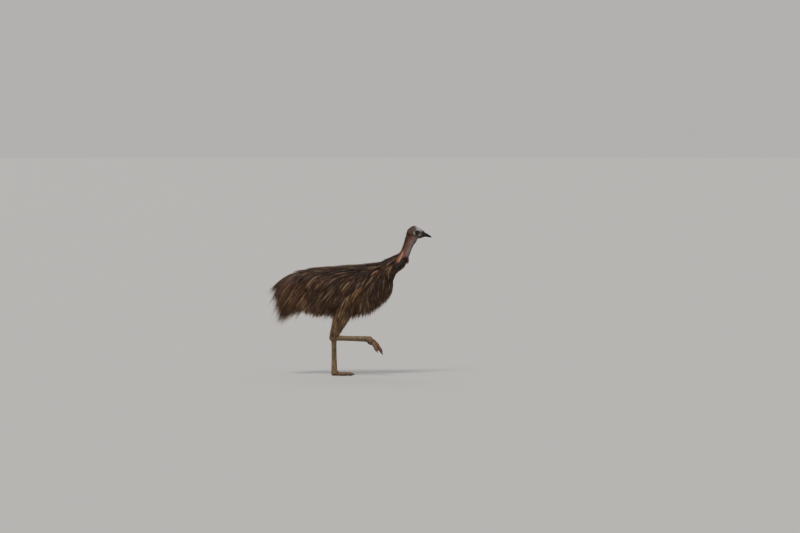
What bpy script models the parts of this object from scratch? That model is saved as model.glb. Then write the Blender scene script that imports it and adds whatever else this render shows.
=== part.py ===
"""A young southern cassowary in mid-stride, life size, as a still display model.

Metres, +Z up. The bird faces +X, its left side is +Y. The origin is on the floor, in the
middle of the sole pad of the left foot, which carries the bird while the right foot swings.
The trunk, neck and head are modelled whole and parted with thin plane cuts. The coat is built
from flat, tapered locks that grow from the skin and follow its lie.
"""

import math
import random

import bmesh
import bpy
import numpy as np
from mathutils import Matrix, Vector

# Clearance between neighbouring pieces, how near two points of one piece may be before they are
# made one, and how often a thin form's faces are moved out in turn where it cuts a neighbour
GAP = 0.0003
WELD = 0.000002
GROW_STEPS = 80

# The body's middle plane stands a little to the right of the left foot, so that the weight is over it
MIDLINE_Y = -0.012

# Trunk without its coat: station x, centre height, half height, half width
TRUNK = [
    (-0.306, 0.752, 0.014, 0.014),
    (-0.290, 0.750, 0.044, 0.042),
    (-0.240, 0.744, 0.074, 0.074),
    (-0.150, 0.728, 0.106, 0.106),
    (-0.030, 0.714, 0.130, 0.130),
    (0.100, 0.712, 0.142, 0.138),
    (0.220, 0.722, 0.142, 0.134),
    (0.320, 0.745, 0.128, 0.114),
    (0.390, 0.772, 0.108, 0.092),
    (0.440, 0.797, 0.080, 0.068),
    (0.472, 0.812, 0.038, 0.034),
]

# Behind the rump the coat lies over this slim drooping form, which is not a solid
RUMP_LIE = [
    (-0.570, 0.600, 0.010, 0.014),
    (-0.500, 0.640, 0.036, 0.036),
    (-0.420, 0.692, 0.058, 0.056),
    (-0.340, 0.728, 0.072, 0.070),
]

# Neck: x, height, half depth front to back, half width
NECK = [
    (0.370, 0.790, 0.066, 0.058),
    (0.430, 0.842, 0.062, 0.052),
    (0.484, 0.890, 0.053, 0.045),
    (0.530, 0.934, 0.044, 0.038),
    (0.556, 0.973, 0.0385, 0.0335),
    (0.571, 1.013, 0.0375, 0.0315),
    (0.586, 1.050, 0.0410, 0.0325),
    (0.602, 1.083, 0.0480, 0.0335),
    (0.618, 1.112, 0.0440, 0.0300),
]

# Skull and bill in the head's own frame: station forward, top, underside, half width
HEAD_AT = (0.630, 1.128)
HEAD_PITCH = math.radians(-12.0)
SKULL = [
    (-0.062, -0.004, -0.020, 0.009),
    (-0.054, 0.016, -0.034, 0.021),
    (-0.036, 0.034, -0.044, 0.030),
    (-0.012, 0.043, -0.047, 0.0340),
    (0.012, 0.043, -0.044, 0.0345),
    (0.032, 0.038, -0.038, 0.0300),
    (0.050, 0.033, -0.030, 0.0225),
    (0.066, 0.028, -0.0205, 0.0180),
    (0.082, 0.0225, -0.0130, 0.0148),
    (0.098, 0.0170, -0.0100, 0.0120),
    (0.114, 0.0110, -0.0090, 0.0092),
    (0.128, 0.0050, -0.0084, 0.0062),
    (0.138, -0.0010, -0.0080, 0.0026),
]
BILL_ROOT = 0.052
MOUTH_BACK = (0.052, -0.0140)
MOUTH_FRONT = (0.138, -0.0034)

# Casque: station forward, top, half width
CASQUE = [
    (-0.040, 0.038, 0.0030),
    (-0.031, 0.048, 0.0085),
    (-0.014, 0.0585, 0.0115),
    (0.004, 0.0560, 0.0130),
    (0.024, 0.0500, 0.0135),
    (0.044, 0.0430, 0.0120),
    (0.062, 0.0345, 0.0090),
    (0.074, 0.0275, 0.0040),
]
CASQUE_FOOT = 0.018

# Eyes, ears and nostrils: where they are in the head's own frame, and how far out from its middle
EYE_AT = (0.0170, 0.0090)
EYE_OUT = 0.0245
EYE_RADIUS = 0.0115
LID_OUT = 0.0327
LID_THICK = 0.0026
EAR_AT = (-0.0120, -0.0140)
EAR_OUT = 0.0320
EAR_RADIUS = 0.0050
EAR_RIM = 0.0019
NOSTRIL_AT = (0.0920, 0.0128, 0.0068)
NOSTRIL_SIZE = (0.0062, 0.0035, 0.0015)
MOUTH_CORNER = (0.030, 0.080, 0.0009)
MOUTH_DEPTH = 0.0022

# Where the trunk, neck and head part: a point and the direction of the neck there
HEAD_CUT = (0.6030, 1.0750, 0.42, 0.91)
NECK_CUT = (0.5480, 0.9550, 0.60, 0.80)
NECK_BASE_CUT = (0.4960, 0.9020, 0.74, 0.67)
TAIL_CUT_X = -0.185

# Legs: knee, hock and ankle as x, y and height. The right leg swings forward with its foot hanging.
LEFT_LEG = [(0.112, 0.072, 0.650), (-0.010, 0.032, 0.304), (-0.007, 0.0, 0.033)]
RIGHT_LEG = [(0.090, -0.096, 0.650), (-0.018, -0.091, 0.304), (0.274, -0.079, 0.294)]

# Drumstick and shin: share of the length, half depth front to back, half width
SHANK_SIZES = [
    (0.00, 0.058, 0.050),
    (0.12, 0.066, 0.056),
    (0.30, 0.058, 0.050),
    (0.55, 0.042, 0.038),
    (0.78, 0.030, 0.028),
    (0.93, 0.026, 0.024),
    (1.00, 0.025, 0.022),
]
SHANK_BOW = 0.010
HOCK_RADIUS = (0.0285, 0.0250)
TARSUS_SIZES = [
    (0.00, 0.0250, 0.0230),
    (0.10, 0.0225, 0.0200),
    (0.35, 0.0208, 0.0182),
    (0.65, 0.0215, 0.0186),
    (0.88, 0.0235, 0.0208),
    (1.00, 0.0240, 0.0230),
]
SCUTES = 11
SCUTE_RISE = 0.0014
RINGS_PER_SCUTE = 2
FOOT_PAD = (0.034, 0.029, 0.026)
PAD_HEIGHT = 0.021
LIFTED_PAD_TILT = 48.0
LIFTED_PAD_AT = (-0.005, 0.0, -0.008)
LIFTED_PAD_SWELL = 1.10

# Toes: name, spread in degrees from the middle toe towards the bird's midline, length, claw length,
# and how far each of its joints falls below level on the lifted foot, in degrees
TOES = [
    ("inner", 30.0, 0.082, 0.062, (-40.0, -50.0, -52.0)),
    ("middle", 0.0, 0.126, 0.028, (-34.0, -52.0, -60.0)),
    ("outer", -30.0, 0.096, 0.022, (-53.0, -61.0, -63.0)),
]
TOE_RADIUS = 0.0160
TOE_TAPER = 0.20
TOE_PADS = 3
TOE_SCUTE_RISE = 0.0009
CLAW_RADIUS = 0.0082
CLAW_BEND = 0.20

# The standing toes lie nearly level. The hanging ones also close up.
LEFT_TOE_START = (0.006, 0.0, 0.0155)
LEFT_TOE_FALL = (-1.5, -1.5, -1.5)
RIGHT_TOE_CLOSING = 0.62

# Wing quills: they lie on the flank, root to tip, as x and height.
# The stub of the wing is given by its half thickness and half height.
WING_STUB = [(0.011, 0.014), (0.011, 0.017), (0.009, 0.020), (0.007, 0.018)]
WING_ROOT = (0.262, 0.742)
QUILL_TIP = (0.046, 0.552)
QUILLS = 3
QUILL_RADIUS = 0.0022
QUILL_OUT = 0.052
QUILL_FAN = 0.040

# Wattles: where each hangs from and to, and its radius along that
WATTLE_ROOT = (0.583, 0.0130, 0.953)
WATTLE_TIP = (0.5735, 0.0150, 0.886)
WATTLE_BOW = 0.012
WATTLE_SIZES = [(0.0, 0.0030), (0.15, 0.0042), (0.45, 0.0058), (0.75, 0.0074), (0.92, 0.0058), (1.0, 0.0022)]

# Coat: how far a lock's tip lies off the skin, and the lie in degrees below straight back.
# Each row is a station and the lie there at the back, shoulder, flank, lower flank and belly.
# The tips sag a little more than their roots.
COAT_LIFT = 0.024
COAT_SAG = 13.0
LIE_SIDES = (0, 45, 90, 135, 180)
LIE_SLOPES = [
    (-0.56, (42, 42, 42, 44, 46)),
    (-0.40, (30, 32, 36, 42, 46)),
    (-0.27, (14, 24, 33, 42, 48)),
    (-0.10, (6, 20, 38, 50, 58)),
    (0.10, (3, 18, 45, 60, 66)),
    (0.30, (3, 30, 60, 74, 78)),
    (0.46, (12, 54, 76, 82, 84)),
]

# One lock: its width and thickness, its taper from root to tip, and how deep its root is sunk
LOCK_WIDTH = 0.076
LOCK_THICK = 0.0085
LOCK_TAPER = [0.70, 1.0, 0.88, 0.55]
LOCK_ROOT = 0.009

# How far a root keeps from the neck and the thighs, and between the thighs
ROOT_CLEAR = 0.004
BELLY_CLEAR = 0.040

# Rows of locks. Torso: stations, and length by the angle from the back and by the station.
# Neck and tail: x, locks in the row, length. Shanks: share of the length, locks, length, width.
ROW_STATIONS = [-0.136, -0.054, 0.028, 0.110, 0.190, 0.268, 0.338, 0.398, 0.440]
LENGTH_BY_SIDE = [(0, 0.170), (60, 0.185), (95, 0.210), (130, 0.190), (180, 0.150)]
LENGTH_BY_STATION = [(-0.20, 1.08), (0.10, 1.0), (0.30, 0.92), (0.45, 0.70)]
NECK_ROWS = [(0.484, 6, 0.100), (0.452, 5, 0.125), (0.424, 5, 0.130)]
TAIL_ROWS = [(-0.214, 9, 0.255), (-0.246, 8, 0.325), (-0.278, 6, 0.350)]
SHANK_ROWS = [(0.16, 7, 0.170, 0.060), (0.42, 6, 0.135, 0.052), (0.67, 5, 0.105, 0.042)]
SHANK_LIFT = 0.014

SKIN_HEX, BARE_NECK_HEX, COAT_HEX = "#4A3A30", "#5F6570", "#3E2E25"
HORN_HEX, CASQUE_HEX, EYE_HEX = "#1E1C1A", "#8F8A84", "#1B120C"
LEG_HEX, CLAW_HEX, WATTLE_HEX, QUILL_HEX = "#7A6547", "#171412", "#8C4A42", "#A98E6C"


def clear_scene():
    for obj in list(bpy.data.objects):
        bpy.data.objects.remove(obj)
    for mesh in list(bpy.data.meshes):
        bpy.data.meshes.remove(mesh)


def finish_of(name, hex_colour, roughness):
    """A Principled material with one colour, given as sRGB hex."""
    material = bpy.data.materials.new(name)
    material.use_nodes = True
    shader = material.node_tree.nodes["Principled BSDF"]
    channels = [int(hex_colour[i : i + 2], 16) / 255 for i in (1, 3, 5)]
    linear = [c / 12.92 if c < 0.04045 else ((c + 0.055) / 1.055) ** 2.4 for c in channels]
    shader.inputs["Base Color"].default_value = (*linear, 1.0)
    shader.inputs["Roughness"].default_value = roughness
    shader.inputs["Metallic"].default_value = 0.0
    material.diffuse_color = (*linear, 1.0)
    return material


def smooth(rows, at):
    """Every column of rows read at one value of the first column, along a smooth curve."""
    table = np.array(rows, float)
    x, values = table[:, 0], table[:, 1:]
    slopes = np.gradient(values, x, axis=0)
    at = np.clip(np.asarray(at, float), x[0], x[-1])
    i = np.clip(np.searchsorted(x, at) - 1, 0, len(x) - 2)
    span = x[i + 1] - x[i]
    w = ((at - x[i]) / span)[..., None]
    span = np.asarray(span)[..., None]
    start = (2 * w**3 - 3 * w**2 + 1) * values[i] + (w**3 - 2 * w**2 + w) * slopes[i] * span
    end = (-2 * w**3 + 3 * w**2) * values[i + 1] + (w**3 - w**2) * slopes[i + 1] * span
    return start + end


def oval(centre, across, up, half_across, half_up, count):
    """One ring of points round an ellipse."""
    centre, across, up = (np.array(v, float) for v in (centre, across, up))
    turns = 2 * math.pi * np.arange(count) / count
    return [centre + across * half_across * math.cos(a) + up * half_up * math.sin(a) for a in turns]


def loft(rings):
    """A closed bmesh through rings of points, which may end in a point.

    Each four-sided patch is halved along the diagonal that bulges, so a twisted form keeps its thickness.
    """
    mesh = bmesh.new()
    loops = [[mesh.verts.new(tuple(point)) for point in ring] for ring in rings]
    for low, high in zip(loops, loops[1:]):
        middle = sum((vert.co for vert in low + high), Vector()) / len(low + high)
        for k in range(len(low)):
            after = (k + 1) % len(low)
            if len(high) == 1:
                mesh.faces.new((low[k], low[after], high[0]))
                continue
            rising = (low[k].co + high[after].co - 2 * middle).length
            falling = (low[after].co + high[k].co - 2 * middle).length
            if rising > falling:
                mesh.faces.new((low[k], low[after], high[after]))
                mesh.faces.new((low[k], high[after], high[k]))
            else:
                mesh.faces.new((low[k], low[after], high[k]))
                mesh.faces.new((low[after], high[after], high[k]))
    for loop in (loops[0], loops[-1]):
        if len(loop) > 2:
            mesh.faces.new(loop)
    bmesh.ops.recalc_face_normals(mesh, faces=mesh.faces)
    return mesh


def sweep(path, sizes, side, count, relief=None):
    """A closed bmesh along a path, with half sizes across and up at each point.

    side is roughly the across direction. relief(index, turn) adds to the radius.
    """
    path, sizes, side = np.array(path, float), np.array(sizes, float), np.array(side, float)
    along = np.gradient(path, axis=0)
    rings = []
    for i, centre in enumerate(path):
        forward = along[i] / np.linalg.norm(along[i])
        across = side - forward * (side @ forward)
        across /= np.linalg.norm(across)
        up = np.cross(forward, across)
        ring = []
        for k in range(count):
            turn = 2 * math.pi * k / count
            more = relief(i, turn) if relief else 0.0
            ring.append(
                centre
                + across * (sizes[i][0] + more) * math.cos(turn)
                + up * (sizes[i][1] + more) * math.sin(turn)
            )
        rings.append(ring)
    return loft(rings)


def rounded(path, sizes):
    """The same path and sizes with domed ends, each as two more rings."""
    path, sizes = [np.array(p, float) for p in path], [np.array(s, float) for s in sizes]
    for _ in range(2):
        way = path[0] - path[1]
        way /= np.linalg.norm(way)
        reach = sizes[0].min()
        path = [path[0] + way * reach * 0.92, path[0] + way * reach * 0.62] + path
        sizes = [sizes[0] * 0.38, sizes[0] * 0.78] + sizes
        path.reverse()
        sizes.reverse()
    return path, sizes


def place(name, mesh, material=None, collection=None):
    """Makes an object of a bmesh and links it."""
    data = bpy.data.meshes.new(name)
    mesh.to_mesh(data)
    mesh.free()
    if material:
        data.materials.append(material)
    obj = bpy.data.objects.new(name, data)
    (collection or MODEL).objects.link(obj)
    return obj


def combined(base, meshes, operation, solver="EXACT"):
    """Joins closed bmeshes to an object, or cuts them from it, in one Boolean, and applies it."""
    helpers = bpy.data.collections.new("helpers")
    bpy.context.scene.collection.children.link(helpers)
    pieces = [place("helper", mesh, collection=helpers) for mesh in meshes]
    modifier = base.modifiers.new("join_or_cut", "BOOLEAN")
    modifier.operation = operation
    modifier.operand_type = "COLLECTION"
    modifier.collection = helpers
    modifier.solver = solver
    bpy.context.view_layer.update()
    evaluated = base.evaluated_get(bpy.context.evaluated_depsgraph_get())
    result = bpy.data.meshes.new_from_object(evaluated)
    base.modifiers.clear()
    base.data = result
    for piece in pieces:
        data = piece.data
        bpy.data.objects.remove(piece)
        bpy.data.meshes.remove(data)
    bpy.data.collections.remove(helpers)
    return keep_largest(base)


def keep_largest(obj):
    """Leaves only the closed surface that holds the most, and drops loose scraps."""
    mesh = bmesh.new()
    mesh.from_mesh(obj.data)
    bmesh.ops.remove_doubles(mesh, verts=mesh.verts, dist=WELD)
    left, groups = set(mesh.faces), []
    while left:
        frontier = [left.pop()]
        group = set(frontier)
        while frontier:
            for edge in frontier.pop().edges:
                if len(edge.link_faces) == 2:
                    fresh = [face for face in edge.link_faces if face not in group]
                    group.update(fresh)
                    frontier += fresh
        left -= group
        groups.append(group)

    def volume(group):
        total = 0.0
        for face in group:
            corners = [vert.co for vert in face.verts]
            for second, third in zip(corners[1:], corners[2:]):
                total += corners[0].dot(second.cross(third))
        return abs(total)

    groups.sort(key=volume)
    scraps = [face for group in groups[:-1] for face in group]
    bmesh.ops.delete(mesh, geom=scraps, context="FACES")
    mesh.to_mesh(obj.data)
    mesh.free()
    return obj


def kept_side(mesh, point, normal):
    """What of a bmesh lies behind a plane, closed along the cut. The normal points to the side removed."""
    part = mesh.copy()
    geometry = part.verts[:] + part.edges[:] + part.faces[:]
    bmesh.ops.bisect_plane(part, geom=geometry, plane_co=point, plane_no=normal, clear_outer=True)
    rim = [edge for edge in part.edges if edge.is_boundary]
    bmesh.ops.holes_fill(part, edges=rim, sides=0)
    bmesh.ops.recalc_face_normals(part, faces=part.faces)
    return part


def bmesh_of(obj):
    mesh = bmesh.new()
    mesh.from_mesh(obj.data)
    return mesh


def head_point(forward, side, up):
    """A point of the head's own frame, in the bird's frame."""
    ahead = Vector((math.cos(HEAD_PITCH), 0, math.sin(HEAD_PITCH)))
    above = Vector((-math.sin(HEAD_PITCH), 0, math.cos(HEAD_PITCH)))
    origin = Vector((HEAD_AT[0], MIDLINE_Y, HEAD_AT[1]))
    return origin + ahead * forward + Vector((0, side, 0)) + above * up


def trunk_mesh(grow=0.0, stations=15, count=20):
    """The trunk as rings across its length."""
    first, last = TRUNK[0][0], TRUNK[-1][0]
    rings = []
    for k in range(stations):
        share = 0.5 - 0.5 * math.cos(math.pi * k / (stations - 1))
        x = first + (last - first) * share
        height, half_height, half_width = smooth(TRUNK, x)
        rings.append(
            oval((x, MIDLINE_Y, height), (0, 1, 0), (0, 0, 1), half_width + grow, half_height + grow, count)
        )
    return loft(rings)


def neck_line():
    """The neck's centre line, with its half width and half depth along it."""
    shares = np.linspace(0, 1, len(NECK))
    rows = smooth([(s, *row) for s, row in zip(shares, NECK)], np.linspace(0, 1, 15))
    return [(x, MIDLINE_Y, z) for x, z, _, _ in rows], [(width, depth) for _, _, depth, width in rows]


def neck_mesh(grow=0.0, count=14):
    path, sizes = neck_line()
    sizes = [(width + grow, depth + grow) for width, depth in sizes]
    return sweep(path, sizes, (0, 1, 0), count)


def skull_mesh(grow=0.0, count=16):
    rings = []
    for forward in np.linspace(SKULL[0][0], SKULL[-1][0], 17):
        top, under, half_width = smooth(SKULL, forward)
        middle, half_height = (top + under) / 2, (top - under) / 2 + grow
        across, up = (0, 1, 0), head_point(0, 0, 1) - head_point(0, 0, 0)
        centre = head_point(forward, 0, middle)
        rings.append(oval(centre, across, up, half_width + grow, half_height, count))
    return loft(rings)


def body_mesh():
    """Trunk, neck and skull as one closed mesh, which the cuts then part."""
    whole = place("body", trunk_mesh())
    combined(whole, [neck_mesh(), skull_mesh()], "UNION")
    mesh = bmesh_of(whole)
    bpy.data.objects.remove(whole)
    return mesh


def cut_plane(row):
    """The point and unit normal of a cut across the neck."""
    x, z, ahead, up = row
    return Vector((x, MIDLINE_Y, z)), Vector((ahead, 0, up)).normalized()


def between(mesh, above=None, below=None):
    """The stretch of the body between two neck cuts, with half the gap taken off at each."""
    part = mesh.copy()
    if above:
        point, normal = cut_plane(above)
        part = kept_side(part, point + normal * GAP / 2, -normal)
    if below:
        point, normal = cut_plane(below)
        part = kept_side(part, point - normal * GAP / 2, normal)
    return part


def lie_rows():
    """The form that the coat lies over: the trunk, drawn out behind the rump."""
    return RUMP_LIE + [row for row in TRUNK if row[0] > -0.27]


def tube_of(path, sizes, samples=30):
    """Evenly spaced points along a path, with the half width and half depth at each."""
    shares = np.linspace(0, 1, len(path))
    rows = [(share, *point, *size) for share, point, size in zip(shares, path, sizes)]
    return smooth(rows, np.linspace(0, 1, samples))


def off_tube(points, tube):
    """How far points are outside a tube, from its nearest sample."""
    away = points[:, None, :] - tube[None, :, :3]
    nearest = np.argmin((away**2).sum(axis=2), axis=1)
    offset = away[np.arange(len(points)), nearest]
    size = tube[nearest, 3:]
    reach = np.linalg.norm(offset, axis=1) + 1e-9
    across = np.abs(offset[:, 1]) / reach
    radius = 1 / np.sqrt((across / size[:, 0]) ** 2 + (1 - across**2) / size[:, 1] ** 2)
    return reach - radius


def off_trunk(points):
    """How far points are outside the trunk and the form behind it."""
    height, half_height, half_width = np.moveaxis(smooth(LIE, points[:, 0]), -1, 0)
    side, rise = points[:, 1] - MIDLINE_Y, points[:, 2] - height
    ratio = np.sqrt((side / half_width) ** 2 + (rise / half_height) ** 2) + 1e-9
    return np.hypot(side, rise) * (1 - 1 / ratio)


def off_body(points):
    """How far points are outside the skin of the trunk, the neck and both thighs."""
    return np.minimum.reduce([off_trunk(points)] + [off_tube(points, tube) for tube in TUBES.values()])


def outward(field, point, step=0.0015):
    """A field's distance at a point, and the direction away from the skin."""
    offsets = np.vstack([np.zeros(3), np.eye(3) * step, -np.eye(3) * step])
    values = field(np.asarray(point, float) + offsets)
    slope = values[1:4] - values[4:7]
    return values[0], slope / (np.linalg.norm(slope) + 1e-12)


def body_lie(point, share):
    """Which way the coat runs here, from the table of slopes, with the tips turned down by their weight."""
    height, half_height, half_width = smooth(LIE, point[0])
    across = (point[1] - MIDLINE_Y) / half_width
    rise = (point[2] - height) / half_height
    side = math.degrees(math.atan2(abs(across), rise))
    stations = [station for station, _ in LIE_SLOPES]
    by_side = [np.interp(side, LIE_SIDES, slopes) for _, slopes in LIE_SLOPES]
    slope = float(np.interp(point[0], stations, by_side)) + COAT_SAG * share * min(1.0, side / 40)
    angle = math.radians(min(slope, 86))
    return np.array([-math.cos(angle), 0.0, -math.sin(angle)])


def shank_lie(side):
    """Down the drumstick, which its feathers follow."""
    knee, hock, _ = leg_points(side)
    way = np.array((hock - knee).normalized())
    return lambda point, share: way


def lock_path(field, lie, root, length, lift, curl=0.0, steps=16):
    """Points of a lock: its root sunk in the skin, then along the lie, rising to its tip."""
    at = np.array(root, float)
    _, out = outward(field, at)
    path = [at - out * LOCK_ROOT]
    for k in range(1, steps + 1):
        share = k / steps
        way = lie(at, share)
        way = way + np.cross(way, out) * curl * share
        free = 1.0 if out[2] < -0.35 else 0.10 + 0.25 * share
        way = way - out * max(0.0, way @ out - free)
        way = way - out * min(0.0, way @ out)
        at = at + way / np.linalg.norm(way) * length / steps
        distance, out = outward(field, at)
        wanted = lift * min(1.0, 1.5 * share)
        if distance < wanted:
            at = at + out * (wanted - distance)
        if k % (steps // len(LOCK_TAPER)) == 0:
            path.append(at)
    return path


def lock_mesh(field, path, width):
    """A flat, tapered lock along a path: flat below, with a low ridge above, ending in a point."""
    along = np.gradient(np.array(path), axis=0)
    along /= np.linalg.norm(along, axis=1)[:, None]
    before, rings = np.zeros(3), []
    for point, forward, share in zip(path, along, LOCK_TAPER):
        _, out = outward(field, point)
        across = np.cross(forward, out)
        across = across / np.linalg.norm(across) + before
        across /= np.linalg.norm(across)
        before = across
        up = np.cross(across, forward)
        half = across * width * share / 2
        under = up * LOCK_THICK * 0.15
        ridge = up * LOCK_THICK * (0.4 + 0.6 * share)
        rings.append([point - half - under, point + half - under, point + ridge])
    return loft(rings + [[path[-1]]])


def grown(mesh, by):
    """Moves the vertices of a closed bmesh until each of its faces lies this much further out."""
    mesh.normal_update()
    moves = []
    for vert in mesh.verts:
        move = Vector()
        for _ in range(GROW_STEPS):
            for face in vert.link_faces:
                move += face.normal * max(0.0, by - face.normal.dot(move))
        moves.append(move)
    for vert, move in zip(mesh.verts, moves):
        vert.co += move
    return mesh


def on_skin(x, side):
    """The point of the trunk's skin at a station and an angle from the back, in degrees."""
    height, half_height, half_width = smooth(TRUNK, x)
    angle = math.radians(side)
    return np.array((x, MIDLINE_Y + half_width * math.sin(angle), height + half_height * math.cos(angle)))


def clear_of(tubes, point, by):
    return all(off_tube(point[None, :], TUBES[name])[0] > by for name in tubes)


def torso_locks():
    """Roots, lengths, widths and lifts of the torso's locks, in staggered rows from the rump forward."""
    chance = random.Random(11)
    wing_roots = [np.array(wing_root(side)) for side in ("right", "left")]
    for row, x in enumerate(ROW_STATIONS):
        _, half_height, half_width = smooth(TRUNK, x)
        girth = math.pi * (half_height + half_width)
        count = max(6, round(girth / (LOCK_WIDTH * 0.98)))
        for k in range(count):
            side = 360 * (k + 0.5 * (row % 2) + chance.uniform(-0.12, 0.12)) / count
            root = on_skin(x + chance.uniform(-0.008, 0.008), side)
            length = chance.uniform(0.90, 1.10)
            length *= float(np.interp(min(side, 360 - side), *zip(*LENGTH_BY_SIDE)))
            length *= float(np.interp(x, *zip(*LENGTH_BY_STATION)))
            if not clear_of(TUBES, root, ROOT_CLEAR if min(side, 360 - side) < 140 else BELLY_CLEAR):
                continue
            if any(np.linalg.norm(root - wing) < 0.034 for wing in wing_roots):
                continue
            yield root, length, LOCK_WIDTH * chance.uniform(0.92, 1.12), chance.uniform(-0.12, 0.12)
    for x, count, length in NECK_ROWS:
        row = TUBES["neck"][int(np.argmin(np.abs(TUBES["neck"][:, 0] - x)))]
        for k in range(count):
            turn = 2 * math.pi * (k + chance.uniform(-0.1, 0.1)) / count
            normal = np.array((-NECK_BASE_CUT[3], 0, NECK_BASE_CUT[2]))
            root = row[:3] + np.array((0, 1, 0)) * row[3] * math.sin(turn) + normal * row[4] * math.cos(turn)
            if off_trunk(root[None, :])[0] < 0.003:
                continue
            yield root, length * chance.uniform(0.9, 1.1), LOCK_WIDTH * 0.78, chance.uniform(-0.1, 0.1)


def tail_locks():
    """Roots and sizes of the long rump locks, which droop behind and hide the stump of the tail."""
    chance = random.Random(16)
    for row, (x, count, length) in enumerate(TAIL_ROWS):
        for k in range(count):
            side = 360 * (k + 0.5 * (row % 2) + chance.uniform(-0.12, 0.12)) / count
            root = on_skin(x, side)
            low = max(0.0, math.cos(math.radians(side - 180)))
            share = chance.uniform(0.92, 1.08) * (1 - 0.20 * low)
            yield root, length * share, LOCK_WIDTH * chance.uniform(0.95, 1.12), chance.uniform(-0.12, 0.12)


def shank_locks(side):
    """Roots and sizes of the feathers of one drumstick."""
    chance = random.Random(21 if side == "right" else 14)
    for row, (share, count, length, width) in enumerate(SHANK_ROWS):
        ring = TUBES[side][int(round(share * (len(TUBES[side]) - 1)))]
        for k in range(count):
            turn = 2 * math.pi * (k + 0.5 * (row % 2) + chance.uniform(-0.1, 0.1)) / count
            root = ring[:3] + np.array((math.cos(turn) * ring[4], math.sin(turn) * ring[3], 0))
            yield root, length * chance.uniform(0.88, 1.10), width, chance.uniform(-0.1, 0.1)


def lock_meshes(rows, field, lie, lift, grow):
    meshes = []
    for root, length, width, curl in rows:
        mesh = lock_mesh(field, lock_path(field, lie, root, length, lift, curl), width)
        meshes.append(grown(mesh, grow) if grow else mesh)
    return meshes


def coat_of(part, grow=0.0):
    """The locks of the torso, the tail or one shank, as closed meshes."""
    if part == "torso":
        return lock_meshes(torso_locks(), off_body, body_lie, COAT_LIFT, grow)
    if part == "tail":
        return lock_meshes(tail_locks(), off_trunk, body_lie, COAT_LIFT, grow)

    def off_shank(points):
        return off_tube(points, TUBES[part])

    return lock_meshes(shank_locks(part), off_shank, shank_lie(part), SHANK_LIFT, grow)


def make_finishes():
    rows = {
        "skin": (SKIN_HEX, 0.6),
        "bare_neck": (BARE_NECK_HEX, 0.55),
        "coat": (COAT_HEX, 0.75),
        "horn": (HORN_HEX, 0.35),
        "casque": (CASQUE_HEX, 0.5),
        "eye": (EYE_HEX, 0.08),
        "leg_scales": (LEG_HEX, 0.5),
        "claw": (CLAW_HEX, 0.35),
        "wattle": (WATTLE_HEX, 0.5),
        "quill": (QUILL_HEX, 0.4),
    }
    return {name: finish_of(name, *row) for name, row in rows.items()}


def leg_points(side):
    """Knee, hock and ankle of one leg."""
    return [Vector(point) for point in (RIGHT_LEG if side == "right" else LEFT_LEG)]


def shank_line(side, grow=0.0):
    """The drumstick's bowed centre line, with its half width and half depth along it."""
    knee, hock, _ = leg_points(side)
    shares = np.linspace(0, 1, 9)
    bow = Vector((SHANK_BOW, 0, 0))
    path = [knee.lerp(hock, s) + bow * math.sin(math.pi * s) for s in shares]
    sizes = [(width + grow, depth + grow) for depth, width in smooth(SHANK_SIZES, shares)]
    return path, sizes


def shank_mesh(side, grow=0.0):
    """The drumstick, from inside the flank down to the hock."""
    path, sizes = rounded(*shank_line(side, grow))
    return sweep(path, sizes, (0, 1, 0), 12)


def hock_mesh(side, grow=0.0):
    _, hock, _ = leg_points(side)
    mesh = bmesh.new()
    bmesh.ops.create_uvsphere(mesh, u_segments=10, v_segments=7, radius=1.0)
    deep, wide = HOCK_RADIUS
    bmesh.ops.scale(mesh, verts=mesh.verts, vec=(deep + grow, wide + grow, deep + grow))
    bmesh.ops.translate(mesh, verts=mesh.verts, vec=hock)
    return mesh


def tarsus_mesh(side, grow=0.0):
    """The scaled shin, with its front scutes raised one below the other."""
    _, hock, ankle = leg_points(side)
    shares = np.linspace(0.0, 1.0, SCUTES * RINGS_PER_SCUTE + 1)
    rows = smooth(TARSUS_SIZES, shares)
    path = [hock.lerp(ankle, s) for s in shares]
    sizes = [(width + grow, depth + grow) for depth, width in rows]

    def scute(index, turn):
        if not 2 < index < len(shares) - 2:
            return 0.0
        facing = max(0.0, math.sin(turn)) ** 0.5
        return SCUTE_RISE * facing * (index % RINGS_PER_SCUTE)

    path, sizes = rounded(path, sizes)
    return sweep(path, sizes, (0, -1, 0), 8, scute)


def foot_pad_mesh(side, grow=0.0):
    """The pad under the toes' common root, flat on the floor where it stands."""
    mesh = bmesh.new()
    bmesh.ops.create_uvsphere(mesh, u_segments=12, v_segments=8, radius=1.0)
    size = Vector(FOOT_PAD) + Vector((grow, grow, grow))
    bmesh.ops.scale(mesh, verts=mesh.verts, vec=size)
    if side == "left":
        bmesh.ops.translate(mesh, verts=mesh.verts, vec=(0.0, 0.0, PAD_HEIGHT))
        to_floor(mesh)
    else:
        turn = Matrix.Rotation(math.radians(LIFTED_PAD_TILT), 4, "Y") @ Matrix.Scale(LIFTED_PAD_SWELL, 4)
        middle = Matrix.Translation(right_pad() + Vector(LIFTED_PAD_AT))
        bmesh.ops.transform(mesh, matrix=middle @ turn, verts=mesh.verts)
    return mesh


def right_pad():
    """Where the lifted foot's toes spring from."""
    _, hock, ankle = leg_points("right")
    return ankle + (ankle - hock).normalized() * 0.010 + Vector((0, 0, -0.006))


def to_floor(mesh):
    for vert in mesh.verts:
        vert.co.z = max(vert.co.z, 0.0)


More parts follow.
